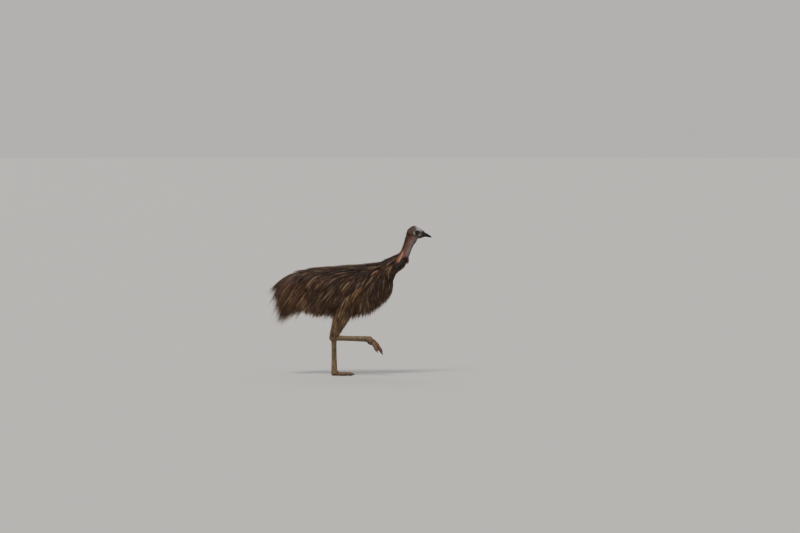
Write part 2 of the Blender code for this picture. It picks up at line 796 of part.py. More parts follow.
def toe_path(side, toe):
    """Joints of one toe from inside the pad to its end, with the direction at the end."""
    _, spread, length, _, lifted_falls = toe
    if side == "left":
        yaw = -math.radians(spread)
        path, falls = [Vector(LEFT_TOE_START)], LEFT_TOE_FALL
    else:
        yaw = math.radians(spread) * RIGHT_TOE_CLOSING
        path, falls = [right_pad()], lifted_falls
    for fall in falls:
        fall = math.radians(fall)
        way = Vector((math.cos(fall) * math.cos(yaw), math.sin(yaw), math.sin(fall)))
        path.append(path[-1] + way.normalized() * length / len(falls))
    return path, way.normalized()


def toe_mesh(side, toe, grow=0.0):
    """A toe with pads below and scutes above."""
    joints, _ = toe_path(side, toe)
    steps = 9
    shares = np.linspace(0, 1, steps)
    rows = [(k / (len(joints) - 1), *joint) for k, joint in enumerate(joints)]
    path = smooth(rows, shares)
    sizes = []
    for share in shares:
        swell = 1 + 0.10 * math.cos(2 * math.pi * (share * TOE_PADS - 0.5))
        radius = TOE_RADIUS * (1 - TOE_TAPER * share) * swell + grow
        sizes.append((radius * 1.08, radius))
    path, sizes = rounded(list(path), sizes)

    def scute(index, turn):
        if not 3 < index < steps:
            return 0.0
        return TOE_SCUTE_RISE * max(0.0, math.sin(turn)) * (index % 2)

    mesh = sweep(path, sizes, (0, 1, 0), 8, scute)
    if side == "left":
        to_floor(mesh)
    return mesh


def claw_mesh(side, toe, grow=0.0):
    """A claw that leaves the toe's end and bends down, flat below where it touches the floor."""
    joints, way = toe_path(side, toe)
    claw = toe[3]
    start = joints[-1] - way * 0.003
    down = Vector((0, 0, -1))
    path, sizes = [], []
    for share in np.linspace(0, 0.94, 5):
        bend = down * claw * CLAW_BEND * share**2
        path.append(start + way * (claw + 0.003) * share + bend)
        radius = CLAW_RADIUS * (1 - share) ** 0.75 + 0.0006 + grow
        sizes.append((radius * 0.86, radius))
    mesh = sweep(path, sizes, (0, 1, 0), 6)
    if side == "left":
        to_floor(mesh)
    return mesh


def make_head(body):
    """Head, bill, casque, eyes: the skull is cut for the eyes, ears and mouth."""
    head = place("head", between(body, above=HEAD_CUT), FINISHES["skin"])
    point = head_point(BILL_ROOT, 0, 0)
    ahead = (head_point(1, 0, 0) - head_point(0, 0, 0)).normalized()
    whole = bmesh_of(head)
    kept_side(whole, point - ahead * GAP / 2, ahead).to_mesh(head.data)
    bill = kept_side(whole, point + ahead * GAP / 2, -ahead)
    make_bill(bill)
    joined, cut = [], []
    for side in (-1, 1):
        joined.append(ring_mesh(EYE_AT, side * LID_OUT, EYE_RADIUS * 0.90, LID_THICK, side))
        joined.append(ring_mesh(EAR_AT, side * EAR_OUT, EAR_RADIUS, EAR_RIM, side))
        cut.append(ball_mesh(EYE_AT, side * EYE_OUT, EYE_RADIUS + GAP))
        cut.append(ball_mesh(EAR_AT, side * (EAR_OUT + EAR_RADIUS * 0.6), EAR_RADIUS * 0.95, 8))
        name = "eye_right" if side < 0 else "eye_left"
        place(name, ball_mesh(EYE_AT, side * EYE_OUT, EYE_RADIUS), FINISHES["eye"])
    combined(head, joined, "UNION")
    cut.append(mouth_line_mesh())
    combined(head, cut, "DIFFERENCE")
    return head


def ball_mesh(at, side, radius, segments=12):
    mesh = bmesh.new()
    bmesh.ops.create_uvsphere(mesh, u_segments=segments, v_segments=segments * 2 // 3, radius=radius)
    bmesh.ops.rotate(mesh, verts=mesh.verts, matrix=Matrix.Rotation(math.pi / 2, 3, "X"))
    bmesh.ops.translate(mesh, verts=mesh.verts, vec=head_point(at[0], side, at[1]))
    return mesh


def ring_mesh(at, side, radius, thick, hand):
    """A rim round an eye or an ear, lying on the side of the head."""
    turns, around = 12, 4
    centre = head_point(at[0], side, at[1])
    ahead = head_point(1, 0, 0) - head_point(0, 0, 0)
    above = head_point(0, 0, 1) - head_point(0, 0, 0)
    out = Vector((0, hand, 0))
    mesh = bmesh.new()
    rings = []
    for k in range(turns):
        turn = 2 * math.pi * k / turns
        arm = ahead * math.cos(turn) + above * math.sin(turn) * 0.90
        middle = centre + arm * radius
        rings.append(
            [
                mesh.verts.new(
                    middle
                    + arm * thick * math.cos(2 * math.pi * j / around)
                    + out * thick * 1.5 * math.sin(2 * math.pi * j / around)
                )
                for j in range(around)
            ]
        )
    for k, ring in enumerate(rings):
        following = rings[(k + 1) % turns]
        for j in range(around):
            mesh.faces.new((ring[j], ring[(j + 1) % around], following[(j + 1) % around], following[j]))
    bmesh.ops.recalc_face_normals(mesh, faces=mesh.faces)
    return mesh


def mouth_line_mesh():
    """A thin wedge that carries the line of the mouth back from the bill to below the eye."""
    mesh = bmesh.new()
    bmesh.ops.create_cube(mesh, size=1.0)
    bmesh.ops.scale(mesh, verts=mesh.verts, vec=MOUTH_CORNER)
    for vert in mesh.verts:
        if vert.co.x < 0:
            vert.co.z *= 0.5
    middle = head_point(MOUTH_BACK[0] - 0.008, 0, MOUTH_BACK[1] - 0.0012)
    turn = Matrix.Rotation(-HEAD_PITCH - math.radians(8), 4, "Y")
    bmesh.ops.transform(mesh, matrix=Matrix.Translation(middle) @ turn, verts=mesh.verts)
    wedge = place("wedge", mesh)
    combined(wedge, [skull_mesh(grow=-MOUTH_DEPTH)], "DIFFERENCE")
    result = bmesh_of(wedge)
    bpy.data.objects.remove(wedge)
    return result


def make_bill(bill):
    """Upper and lower bill, parted along the line of the mouth, with slit nostrils."""
    back, front = head_point(MOUTH_BACK[0], 0, MOUTH_BACK[1]), head_point(MOUTH_FRONT[0], 0, MOUTH_FRONT[1])
    along = (front - back).normalized()
    up = Vector((-along.z, 0, along.x))
    upper = place("bill_upper", kept_side(bill, back + up * GAP / 2, -up), FINISHES["horn"])
    lower = kept_side(bill, back - up * GAP / 2, up)
    for vert in lower.verts:
        vert.co.y = MIDLINE_Y + (vert.co.y - MIDLINE_Y) * 0.90
    place("bill_lower", lower, FINISHES["horn"])
    slits = []
    for side in (-1, 1):
        slit = bmesh.new()
        bmesh.ops.create_uvsphere(slit, u_segments=8, v_segments=5, radius=1.0)
        bmesh.ops.scale(slit, verts=slit.verts, vec=NOSTRIL_SIZE)
        turn = Matrix.Rotation(-HEAD_PITCH + math.radians(14), 4, "Y")
        at = head_point(NOSTRIL_AT[0], side * NOSTRIL_AT[1], NOSTRIL_AT[2])
        bmesh.ops.transform(slit, matrix=Matrix.Translation(at) @ turn, verts=slit.verts)
        slits.append(slit)
    combined(upper, slits, "DIFFERENCE")


def make_casque():
    """A low shield over the forehead, seated on the skull."""
    rings = []
    up = head_point(0, 0, 1) - head_point(0, 0, 0)
    for forward in np.linspace(CASQUE[0][0], CASQUE[-1][0], 11):
        top, half_width = smooth(CASQUE, forward)
        centre = head_point(forward, 0, (top + CASQUE_FOOT) / 2)
        rings.append(oval(centre, (0, 1, 0), up, half_width, (top - CASQUE_FOOT) / 2, 12))
    casque = place("casque", loft(rings), FINISHES["casque"])
    combined(casque, [skull_mesh(grow=GAP)], "DIFFERENCE")


def make_wattles():
    for side, name in ((-1, "wattle_right"), (1, "wattle_left")):
        root = Vector((WATTLE_ROOT[0], MIDLINE_Y + side * WATTLE_ROOT[1], WATTLE_ROOT[2]))
        tip = Vector((WATTLE_TIP[0], MIDLINE_Y + side * WATTLE_TIP[1], WATTLE_TIP[2]))
        path = []
        for share, _ in WATTLE_SIZES:
            path.append(root.lerp(tip, share) + Vector((WATTLE_BOW * math.sin(math.pi * share), 0, 0)))
        sizes = [(size * 0.72, size) for _, size in WATTLE_SIZES]
        wattle = place(name, sweep(path, sizes, (0, 1, 0), 10), FINISHES["wattle"])
        combined(wattle, [neck_mesh(grow=GAP)], "DIFFERENCE")


def quill_path(side, index):
    """One wing quill on the flank: it fans a little from its neighbours."""
    fan = (index - (QUILLS - 1) / 2) / (QUILLS - 1)
    hand = -1 if side == "right" else 1
    points = []
    length = 1.0 - 0.10 * abs(fan + 0.2)
    for share in np.linspace(0, 1, 4):
        x = WING_ROOT[0] - 0.010 + (QUILL_TIP[0] - WING_ROOT[0]) * share * length
        z = WING_ROOT[1] - 0.010 + (QUILL_TIP[1] - WING_ROOT[1]) * share * length
        x += QUILL_FAN * 0.6 * fan * share
        z -= QUILL_FAN * fan * (0.3 + share)
        height, half_height, half_width = smooth(TRUNK, x)
        across = math.sqrt(max(0.70, 1 - ((z - height) / half_height) ** 2)) * half_width
        out = across + QUILL_OUT * (0.30 + 0.70 * min(1.0, share * 2.5)) + 0.002 * index
        points.append((x, MIDLINE_Y + hand * out, z))
    return points


def wing_root(side, out=0.0, ahead=0.0):
    """A point of the short wing on the flank, out from the skin and forward from its middle."""
    hand = -1 if side == "right" else 1
    _, _, half_width = smooth(TRUNK, WING_ROOT[0] + ahead)
    return Vector((WING_ROOT[0] + ahead, MIDLINE_Y + hand * (half_width + out), WING_ROOT[1] + ahead * 0.85))


def wing_meshes(side, grow=0.0):
    """The stub of the wing and its quills."""
    root, wrist = wing_root(side, -0.010, 0.026), wing_root(side, 0.014, -0.022)
    path = [root.lerp(wrist, share) for share in (0, 0.4, 0.75, 1.0)]
    sizes = [(width + grow, height + grow) for width, height in WING_STUB]
    path, sizes = rounded(path, sizes)
    stub = sweep(path, sizes, (0, 1, 0), 8)
    quills = []
    for index in range(QUILLS):
        points = quill_path(side, index)
        radii = [QUILL_RADIUS * (1 - 0.65 * s) + grow for s in np.linspace(0, 1, len(points))]
        quills.append(sweep(points, [(r, r) for r in radii], (0, 1, 0), 5))
    return stub, quills


def make_wings():
    for side in ("right", "left"):
        stub, quills = wing_meshes(side)
        wing = place(f"wing_{side}", stub, FINISHES["quill"])
        combined(wing, [trunk_mesh(grow=GAP)], "DIFFERENCE")
        combined(wing, quills, "UNION", "MANIFOLD")


def make_leg(side):
    """Shin, foot pad, toes and claws of one leg."""
    tarsus = place(f"tarsus_{side}", tarsus_mesh(side), FINISHES["leg_scales"])
    combined(tarsus, [hock_mesh(side)], "UNION")
    combined(tarsus, [foot_pad_mesh(side, GAP)], "DIFFERENCE")
    place(f"foot_{side}", foot_pad_mesh(side), FINISHES["leg_scales"])
    earlier = [foot_pad_mesh(side, GAP), tarsus_mesh(side, GAP)]
    for toe in TOES:
        finger = place(f"toe_{toe[0]}_{side}", toe_mesh(side, toe), FINISHES["leg_scales"])
        combined(finger, [mesh.copy() for mesh in earlier], "DIFFERENCE")
        nail = place(f"claw_{toe[0]}_{side}", claw_mesh(side, toe), FINISHES["claw"])
        combined(nail, [toe_mesh(side, toe, GAP)], "DIFFERENCE")
        earlier.append(toe_mesh(side, toe, GAP))


def make_shanks():
    """Each drumstick with its feathers, which ends in a socket round the hock."""
    for side in ("right", "left"):
        shank = place(f"shank_{side}", shank_mesh(side), FINISHES["coat"])
        combined(shank, coat_of(side), "UNION", "MANIFOLD")
        combined(shank, [hock_mesh(side, GAP), tarsus_mesh(side, GAP)], "DIFFERENCE", "MANIFOLD")


def make_tail(body):
    """The rump behind the thighs, with the longest locks."""
    front = Vector((TAIL_CUT_X - GAP / 2, 0, 0))
    tail = place("tail", kept_side(body, front, Vector((1, 0, 0))), FINISHES["coat"])
    combined(tail, coat_of("tail"), "UNION", "MANIFOLD")


def make_torso(body):
    """The trunk with its coat, cut clear of the thighs, the wings and the rump's locks."""
    back = Vector((TAIL_CUT_X + GAP / 2, 0, 0))
    trunk = kept_side(between(body, below=NECK_BASE_CUT), back, Vector((-1, 0, 0)))
    torso = place("torso", trunk, FINISHES["coat"])
    combined(torso, coat_of("torso"), "UNION", "MANIFOLD")
    cutters = coat_of("tail", GAP)
    rump = Vector((TAIL_CUT_X + GAP / 6, 0, 0))
    cutters.append(kept_side(trunk_mesh(GAP), rump, Vector((1, 0, 0))))
    for side in ("right", "left"):
        stub, quills = wing_meshes(side, GAP)
        cutters += [shank_mesh(side, GAP), stub] + quills + coat_of(side, GAP)
    combined(torso, cutters, "DIFFERENCE", "MANIFOLD")


def main():
    body = body_mesh()
    make_head(body)
    place("neck_upper", between(body, above=NECK_CUT, below=HEAD_CUT), FINISHES["bare_neck"])
    place("neck_lower", between(body, above=NECK_BASE_CUT, below=NECK_CUT), FINISHES["skin"])
    make_casque()
    make_wattles()
    make_wings()
    for side in ("right", "left"):
        make_leg(side)
    make_shanks()
    make_tail(body)
    make_torso(body)


clear_scene()
MODEL = bpy.data.collections.new("cassowary")
bpy.context.scene.collection.children.link(MODEL)
FINISHES = make_finishes()
LIE = lie_rows()
TUBES = {"neck": tube_of(*neck_line())}
TUBES |= {side: tube_of(*shank_line(side)) for side in ("right", "left")}
main()
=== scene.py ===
import math
from functools import partial

import bmesh
import bpy
import numpy as np
from mathutils import Matrix, Vector


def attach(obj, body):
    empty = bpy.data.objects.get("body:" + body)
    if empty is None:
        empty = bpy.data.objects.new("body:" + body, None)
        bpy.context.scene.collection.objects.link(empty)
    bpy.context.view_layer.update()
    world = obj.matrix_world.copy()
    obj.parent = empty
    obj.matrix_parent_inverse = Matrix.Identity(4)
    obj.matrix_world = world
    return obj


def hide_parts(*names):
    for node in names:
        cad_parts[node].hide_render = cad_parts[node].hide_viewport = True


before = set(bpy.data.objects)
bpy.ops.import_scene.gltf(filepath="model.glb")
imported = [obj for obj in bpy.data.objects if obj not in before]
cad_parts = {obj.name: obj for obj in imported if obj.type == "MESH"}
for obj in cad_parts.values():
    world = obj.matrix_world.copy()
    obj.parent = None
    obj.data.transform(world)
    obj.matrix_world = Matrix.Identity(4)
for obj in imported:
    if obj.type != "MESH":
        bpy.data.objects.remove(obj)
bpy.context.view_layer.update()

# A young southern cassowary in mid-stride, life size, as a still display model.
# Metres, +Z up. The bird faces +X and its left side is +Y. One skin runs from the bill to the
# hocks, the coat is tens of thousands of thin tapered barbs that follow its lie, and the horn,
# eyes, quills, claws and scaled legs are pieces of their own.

# The body's middle plane, and the flesh forms: station x, centre height, half height, half width
MIDLINE_Y = -0.012
TRUNK = [
    (-0.306, 0.752, 0.014, 0.014),
    (-0.290, 0.750, 0.044, 0.042),
    (-0.240, 0.744, 0.074, 0.074),
    (-0.150, 0.728, 0.106, 0.106),
    (-0.030, 0.714, 0.130, 0.130),
    (0.100, 0.712, 0.142, 0.138),
    (0.220, 0.722, 0.142, 0.134),
    (0.320, 0.745, 0.128, 0.114),
    (0.390, 0.772, 0.108, 0.092),
    (0.440, 0.797, 0.080, 0.068),
    (0.472, 0.812, 0.038, 0.034),
]
RUMP_LIE = [
    (-0.570, 0.600, 0.010, 0.014),
    (-0.500, 0.640, 0.036, 0.036),
    (-0.420, 0.692, 0.058, 0.056),
    (-0.340, 0.728, 0.072, 0.070),
]
LIE_FORM = RUMP_LIE + [row for row in TRUNK if row[0] > -0.27]

# Neck: x, height, half depth front to back, half width
NECK = [
    (0.370, 0.790, 0.066, 0.058),
    (0.430, 0.842, 0.062, 0.052),
    (0.484, 0.890, 0.053, 0.045),
    (0.530, 0.934, 0.044, 0.038),
    (0.556, 0.973, 0.0385, 0.0335),
    (0.571, 1.013, 0.0375, 0.0315),
    (0.586, 1.050, 0.0410, 0.0325),
    (0.602, 1.083, 0.0480, 0.0335),
    (0.618, 1.112, 0.0440, 0.0300),
]

# Skull and bill in the head's own frame: station forward, top, underside, half width
HEAD_AT = (0.630, 1.128)
HEAD_PITCH = math.radians(-12.0)
SKULL = [
    (-0.062, -0.004, -0.020, 0.009),
    (-0.054, 0.016, -0.034, 0.021),
    (-0.036, 0.034, -0.044, 0.030),
    (-0.012, 0.043, -0.047, 0.0340),
    (0.012, 0.043, -0.044, 0.0345),
    (0.032, 0.038, -0.038, 0.0300),
    (0.050, 0.033, -0.030, 0.0225),
    (0.066, 0.028, -0.0205, 0.0180),
    (0.082, 0.0225, -0.0130, 0.0148),
    (0.098, 0.0170, -0.0100, 0.0120),
    (0.114, 0.0110, -0.0090, 0.0092),
    (0.128, 0.0050, -0.0084, 0.0062),
    (0.138, -0.0010, -0.0080, 0.0026),
]
SKULL_END = 0.057
BILL_ROOT = 0.052
MOUTH_BACK = (0.052, -0.0140)
MOUTH_FRONT = (0.138, -0.0034)
GAPE = (0.028, -0.0168)
CASQUE = [
    (-0.040, 0.038, 0.0030),
    (-0.031, 0.048, 0.0085),
    (-0.014, 0.0585, 0.0115),
    (0.004, 0.0560, 0.0130),
    (0.024, 0.0500, 0.0135),
    (0.044, 0.0430, 0.0120),
    (0.062, 0.0345, 0.0090),
    (0.074, 0.0275, 0.0040),
]
CASQUE_FOOT = 0.018
STRIPE = ((0.5325, 0.9700), (0.5010, 0.9005))
EYE_AT = (0.0170, 0.0090)
EYE_OUT = 0.0245
EYE_RADIUS = 0.0115
EAR_AT = (-0.0120, -0.0140)
EAR_RADIUS = 0.0042
NOSTRIL_AT = (0.0920, 0.0068)

# Legs: knee, hock and ankle of each, then share of the length, half depth and half width
LEGS = {
    "left": [(0.112, 0.072, 0.650), (-0.010, 0.032, 0.304), (-0.007, 0.0, 0.033)],
    "right": [(0.090, -0.096, 0.650), (-0.018, -0.091, 0.304), (0.274, -0.079, 0.294)],
}
SIDES = {"right": -1, "left": 1}
SHANK_SIZES = [
    (0.00, 0.058, 0.050),
    (0.12, 0.066, 0.056),
    (0.30, 0.058, 0.050),
    (0.55, 0.042, 0.038),
    (0.78, 0.030, 0.028),
    (0.93, 0.026, 0.024),
    (1.00, 0.025, 0.022),
]
SHANK_BOW = 0.010
HOCK_RADIUS = (0.0285, 0.0250)
TARSUS_SIZES = [
    (0.00, 0.0250, 0.0230),
    (0.10, 0.0225, 0.0200),
    (0.35, 0.0208, 0.0182),
    (0.65, 0.0215, 0.0186),
    (0.88, 0.0235, 0.0208),
    (1.00, 0.0240, 0.0230),
]
FOOT_PAD = (0.034, 0.029, 0.026)
PAD_HEIGHT = 0.021
LIFTED_PAD_TILT = 48.0
LIFTED_PAD_AT = (-0.005, 0.0, -0.008)
LIFTED_PAD_SWELL = 1.10

# Toes: name, spread in degrees towards the midline, length, claw length, and how far each joint
# of the lifted foot's toe falls below level, in degrees
TOES = [
    ("inner", 30.0, 0.082, 0.062, (-40.0, -50.0, -52.0)),
    ("middle", 0.0, 0.126, 0.028, (-34.0, -52.0, -60.0)),
    ("outer", -30.0, 0.096, 0.022, (-53.0, -61.0, -63.0)),
]
# Radius at the root, how much of it is lost by the end, and what the skin adds all round
TOE_RADIUS = 0.0160
TOE_TAPER = 0.20
TOE_SKIN = 0.0010
LEFT_TOE_START = (0.006, 0.0, 0.0155)
LEFT_TOE_FALL = (-1.5, -1.5, -1.5)
RIGHT_TOE_CLOSING = 0.62
TARSUS_SCUTE = 0.0125
TOE_SCUTE = 0.0074

# Wing quills: they lie on the flank, root to tip
WING_ROOT = (0.262, 0.742)
QUILL_TIP = (0.046, 0.552)
QUILLS = 3
QUILL_RADIUS = 0.0015
QUILL_OUT = 0.046
QUILL_FAN = 0.040

WATTLE_ROOT = (0.5760, 0.0185, 0.951)
WATTLE_TIP = (0.5710, 0.0165, 0.886)
WATTLE_BOW = 0.005
WATTLE_SIZES = [
    (0.00, 0.0030),
    (0.15, 0.0042),
    (0.45, 0.0058),
    (0.75, 0.0074),
    (0.92, 0.0058),
    (1.00, 0.0022),
]

# Bill halves: how far above the mouth's plane each is cut, and the lower one's width against its form
UPPER_BILL_LIFT = 0.0002
LOWER_BILL_LIFT = 0.0020
LOWER_BILL_NARROWING = 0.86

# Face: the folds round the eye as rise, distance from its middle, width, and how strongly each
# shows all round and above the eye
LID_FOLDS = [
    (0.0021, 0.0105, 0.0018, 0.75, 0.55),
    (-0.0011, 0.0145, 0.0014, 1.0, 0.0),
    (0.0012, 0.0178, 0.0020, 0.3, 1.0),
]
SOCKET_DEPTH = 0.0105
EAR_DEPTH = 0.0070
MOUTH_DEPTH = 0.0019
LIP_RISE = 0.0009
NECK_RINGS = 46

# Size of the mesh grid of each fused form
SKIN_GRID = 0.00155
FLESH_GRID = 0.007
LEG_GRID = 0.0015
CASQUE_GRID = 0.0009
BILL_GRID = 0.0008
WATTLE_GRID = 0.0008

# How far under its field's surface each form of the skin lies
NECK_SUNK = 0.0006
TRUNK_SUNK = 0.005
THIGH_SUNK = 0.003

# Claws: radius at the root, how far they bend as a share of their length, how deep they are set
CLAW_RADIUS = 0.0082
CLAW_BEND = 0.20
CLAW_SUNK = 0.003

# Lie of the coat, in degrees below straight back: station, then back, shoulder, flank, lower flank, belly
LIE_SIDES = (0, 45, 90, 135, 180)
LIE_SLOPES = [
    (-0.56, (46, 46, 47, 50, 52)),
    (-0.40, (34, 37, 42, 49, 52)),
    (-0.27, (15, 27, 38, 48, 52)),
    (-0.10, (6, 21, 39, 51, 58)),
    (0.10, (3, 18, 45, 60, 66)),
    (0.30, (3, 30, 60, 74, 78)),
    (0.46, (12, 54, 76, 82, 84)),
]
COAT_SAG = 13.0
LENGTH_BY_SIDE = [(0, 0.170), (60, 0.185), (95, 0.210), (130, 0.190), (180, 0.150)]
LENGTH_BY_STATION = [(-0.20, 1.08), (0.10, 1.0), (0.30, 0.92), (0.45, 0.70)]
TAIL_LENGTH = [(-0.300, 0.318), (-0.246, 0.322), (-0.200, 0.225)]
TAIL_LENGTH_BY_SIDE = [(40, 1.0), (90, 1.14)]
TAIL_LIFT_BY_SIDE = [(30, 0.010), (110, 0.024)]
CAPE_LENGTH = [(0.08, 0.135), (0.30, 0.125), (0.43, 0.080)]
CAPE_LIFT = [(0.06, 0.028), (0.28, 0.028), (0.37, 0.014), (0.43, 0.006)]
THIGH_LENGTH = [(0.0, 0.170), (0.5, 0.120), (0.8, 0.060), (1.0, 0.024)]
NECK_LENGTH = [(0.22, 0.070), (0.34, 0.042), (0.5, 0.022), (0.8, 0.012), (1.0, 0.007)]
NECK_LIFT = [(0.2, 0.008), (0.5, 0.0028), (1.0, 0.0012)]

# Trunk coat: region, stations from and to, clumps on each side. Then the clumps of the other coats.
TRUNK_REGIONS = [
    ("breast", 0.300, 0.460, 400),
    ("shoulder", 0.140, 0.300, 430),
    ("flank", -0.030, 0.140, 460),
    ("rump", -0.185, -0.030, 425),
]
CLUMPS = {"cape": 560, "tail": 460, "thigh": 360, "neck": 3000, "crown": 900}

# Clumps: barbs in each, half their spread, how far they draw together towards the tip, half
# width of a barb, how far tips stray sideways, and the shortest barb against the longest
CLUMP_FORMS = {
    "trunk": (12, 0.0090, 0.66, 0.00118, 0.0030, 0.70),
    "cape": (11, 0.0070, 0.60, 0.00095, 0.0020, 0.70),
    "tail": (12, 0.0100, 0.50, 0.00120, 0.0060, 0.58),
    "thigh": (10, 0.0070, 0.45, 0.00095, 0.0022, 0.70),
    "neck": (4, 0.0038, 0.30, 0.00036, 0.0008, 0.70),
}

# The coat: steps of a clump's middle line, rings of one barb, how deep its root is sunk, and its
# half width at each ring
GUIDE_STEPS = 14
BARB_RINGS = 4
ROOT_DEPTH = 0.004
BARB_TAPER = (0.80, 1.00, 0.86, 0.56)

# Unwrap: each barb's patch, then where each part starts and how long it is, as shares of the sheet
PATCH = 0.003
UNWRAP_ROUND = 0.96
UNWRAP_ROWS = {"trunk": (0.01, 0.67), "neck": (0.70, 0.12), "right": (0.84, 0.07), "left": (0.92, 0.07)}
TUBE_SAMPLES = 36

# Colours, as sRGB
SKIN_DARK = "#1D1512"
NAPE_DARK = "#3A281D"
NAPE_RUST = "#5D3C2D"
NECK_MAUVE = "#6A5350"
NECK_GREY = "#776B68"
THROAT_DARK = "#4A4241"
FRONT_BLACK = "#1F1613"
NECK_STRIPE = "#A2745F"
NECK_ORANGE = "#74432D"
CHEEK_PALE = "#8E9184"
LORE_GREY = "#3F3D3B"
EYE_RING = "#100D0B"
BARB_BLACK = "#130E0B"
BARB_BROWN = "#3D2C22"
BARB_RUST = "#5B3424"
BARB_TAN = "#937A5D"
# Slate barbs: partly the coat's own tone, and massed on the back as painted violet-grey sky sheen
BARB_SLATE_AND_SHEEN = "#332B2F"
HORN_BLACK = "#0C0B0A"
HORN_ROOT = "#1B1A19"
HORN_GREY = "#46433F"
CASQUE_PALE = "#989198"
CASQUE_BROWN = "#40301F"
IRIS_BROWN = "#2B180E"
PUPIL = "#030202"
LEG_OLIVE = "#6F5E43"
LEG_DARK = "#3D3122"
TOE_BROWN = "#654836"
# Painted shade for the downturned faces of the feet
SOLE_SHADE = "#1F1A16"
CLAW_BLACK = "#0F0D0B"
CLAW_GREY = "#3A342E"
QUILL_PALE = "#8F6F49"
QUILL_DARK = "#3A2B1E"
WATTLE_RED = "#5E2A27"
WATTLE_DARK = "#3C1D1B"
SHEEN_VIOLET = "#AFA6BE"
FLOOR_PALE = "#BDBCBA"
WORLD_PALE = "#F6F3EF"

# Lights: where each shines from, strength, softness in degrees, colour
LIGHTS = {
    "key": ((-0.35, -0.80, 1.15), 2.5, 18.0, "#FFF8EE"),
    "rim": ((-0.30, 0.95, 0.80), 0.5, 30.0, "#F4F2FF"),
}
WORLD_STRENGTH = 0.66
FLOOR_RADIUS = 90.0


def linear(hex_colour):
    """An sRGB hex colour as linear red, green and blue."""
    channels = [int(hex_colour[i : i + 2], 16) / 255 for i in (1, 3, 5)]
    return np.array([c / 12.92 if c < 0.04045 else ((c + 0.055) / 1.055) ** 2.4 for c in channels])


def smooth(rows, at):
    """Every column of rows read at values of the first column, along a smooth curve."""
    table = np.array(rows, float)
    x, values = table[:, 0], table[:, 1:]
    slopes = np.gradient(values, x, axis=0)
    at = np.clip(np.asarray(at, float), x[0], x[-1])
    i = np.clip(np.searchsorted(x, at) - 1, 0, len(x) - 2)
    span = x[i + 1] - x[i]
    w = ((at - x[i]) / span)[..., None]
    span = np.asarray(span)[..., None]
    start = (2 * w**3 - 3 * w**2 + 1) * values[i] + (w**3 - 2 * w**2 + w) * slopes[i] * span
    end = (-2 * w**3 + 3 * w**2) * values[i + 1] + (w**3 - w**2) * slopes[i + 1] * span
    return start + end


def section(rows, at):
    """The columns of a form's table at stations, one array for each."""
    return np.moveaxis(smooth(rows, at), -1, 0)


def unit(vectors):
    return vectors / (np.linalg.norm(vectors, axis=-1, keepdims=True) + 1e-12)


def ramp(values, low, high):
    """From 0 at low to 1 at high, eased at both ends."""
    share = np.clip((values - low) / (high - low), 0, 1)
    return share * share * (3 - 2 * share)


def bell(values, width):
    return np.exp(-((values / width) ** 2))


def mottle(points, size, seed, octaves=3):
    """Smooth random values, mostly from -1 to 1, in blotches of about this size."""
    chance = np.random.default_rng(seed)
    total = np.zeros(len(points))
    for octave in range(octaves):
        ways = unit(chance.normal(size=(6, 3))) * (2 * math.pi / size * 1.9**octave)
        waves = np.sin(points @ ways.T + chance.uniform(0, 2 * math.pi, 6))
        total += waves.mean(axis=1) * 1.6 / 1.6**octave
    return total


def blended(points, base, *layers):
    """A colour for each point: a base with other colours laid over it, each by its own mask.

    A colour is a hex name, or an array.
    """
    colours = np.tile(linear(base), (len(points), 1)) if isinstance(base, str) else base
    for mask, colour in layers:
        colour = linear(colour) if isinstance(colour, str) else colour
        colours = colours + (colour - colours) * np.clip(mask, 0, 1)[:, None]
    return colours


# Forms and fields: how far a point is outside the flesh, and which way is out


def tube_of(path, sizes, samples=TUBE_SAMPLES):
    """Evenly spaced points along a path, with the half width and half depth at each."""
    shares = np.linspace(0, 1, len(path))
    rows = [(share, *point, *size) for share, point, size in zip(shares, path, sizes)]
    return smooth(rows, np.linspace(0, 1, samples))


def nearest_on(points, tube):
    """The index of the tube's nearest sample, and the offset from it."""
    away = points[:, None, :] - tube[None, :, :3]
    nearest = np.argmin((away**2).sum(axis=2), axis=1)
    return nearest, away[np.arange(len(points)), nearest]


def off_tube(points, tube):
    """How far points are outside a tube."""
    nearest, offset = nearest_on(points, tube)
    reach = np.linalg.norm(offset, axis=1) + 1e-9
    across = np.abs(offset[:, 1]) / reach
    radius = 1 / np.sqrt((across / tube[nearest, 3]) ** 2 + (1 - across**2) / tube[nearest, 4] ** 2)
    return reach - radius


def off_trunk(points):
    """How far points are outside the trunk and the form that the coat lies over behind it."""
    height, half_height, half_width = section(LIE_FORM, points[:, 0])
    side, rise = points[:, 1] - MIDLINE_Y, points[:, 2] - height
    ratio = np.sqrt((side / half_width) ** 2 + (rise / half_height) ** 2) + 1e-9
    return np.hypot(side, rise) * (1 - 1 / ratio)


def in_head(points):
    """Points of the bird's frame in the head's own: forward, to the left, up."""
    ahead, up = points[:, 0] - HEAD_AT[0], points[:, 2] - HEAD_AT[1]
    forward = ahead * math.cos(HEAD_PITCH) + up * math.sin(HEAD_PITCH)
    above = -ahead * math.sin(HEAD_PITCH) + up * math.cos(HEAD_PITCH)
    return forward, points[:, 1] - MIDLINE_Y, above


def off_skull(points):
    forward, side, above = in_head(points)
    top, under, half_width = section(SKULL, forward)
    rise, half_height = above - (top + under) / 2, (top - under) / 2
    ratio = np.sqrt((side / half_width) ** 2 + (rise / half_height) ** 2) + 1e-9
    within = np.maximum(0, np.abs(forward + 0.005) - 0.057)
    return np.hypot(side, rise) * (1 - 1 / ratio) + within


def head_point(forward, side, up):
    """A point of the head's own frame, in the bird's frame."""
    ahead = Vector((math.cos(HEAD_PITCH), 0, math.sin(HEAD_PITCH)))
    above = Vector((-math.sin(HEAD_PITCH), 0, math.cos(HEAD_PITCH)))
    return Vector((HEAD_AT[0], MIDLINE_Y + side, HEAD_AT[1])) + ahead * forward + above * up


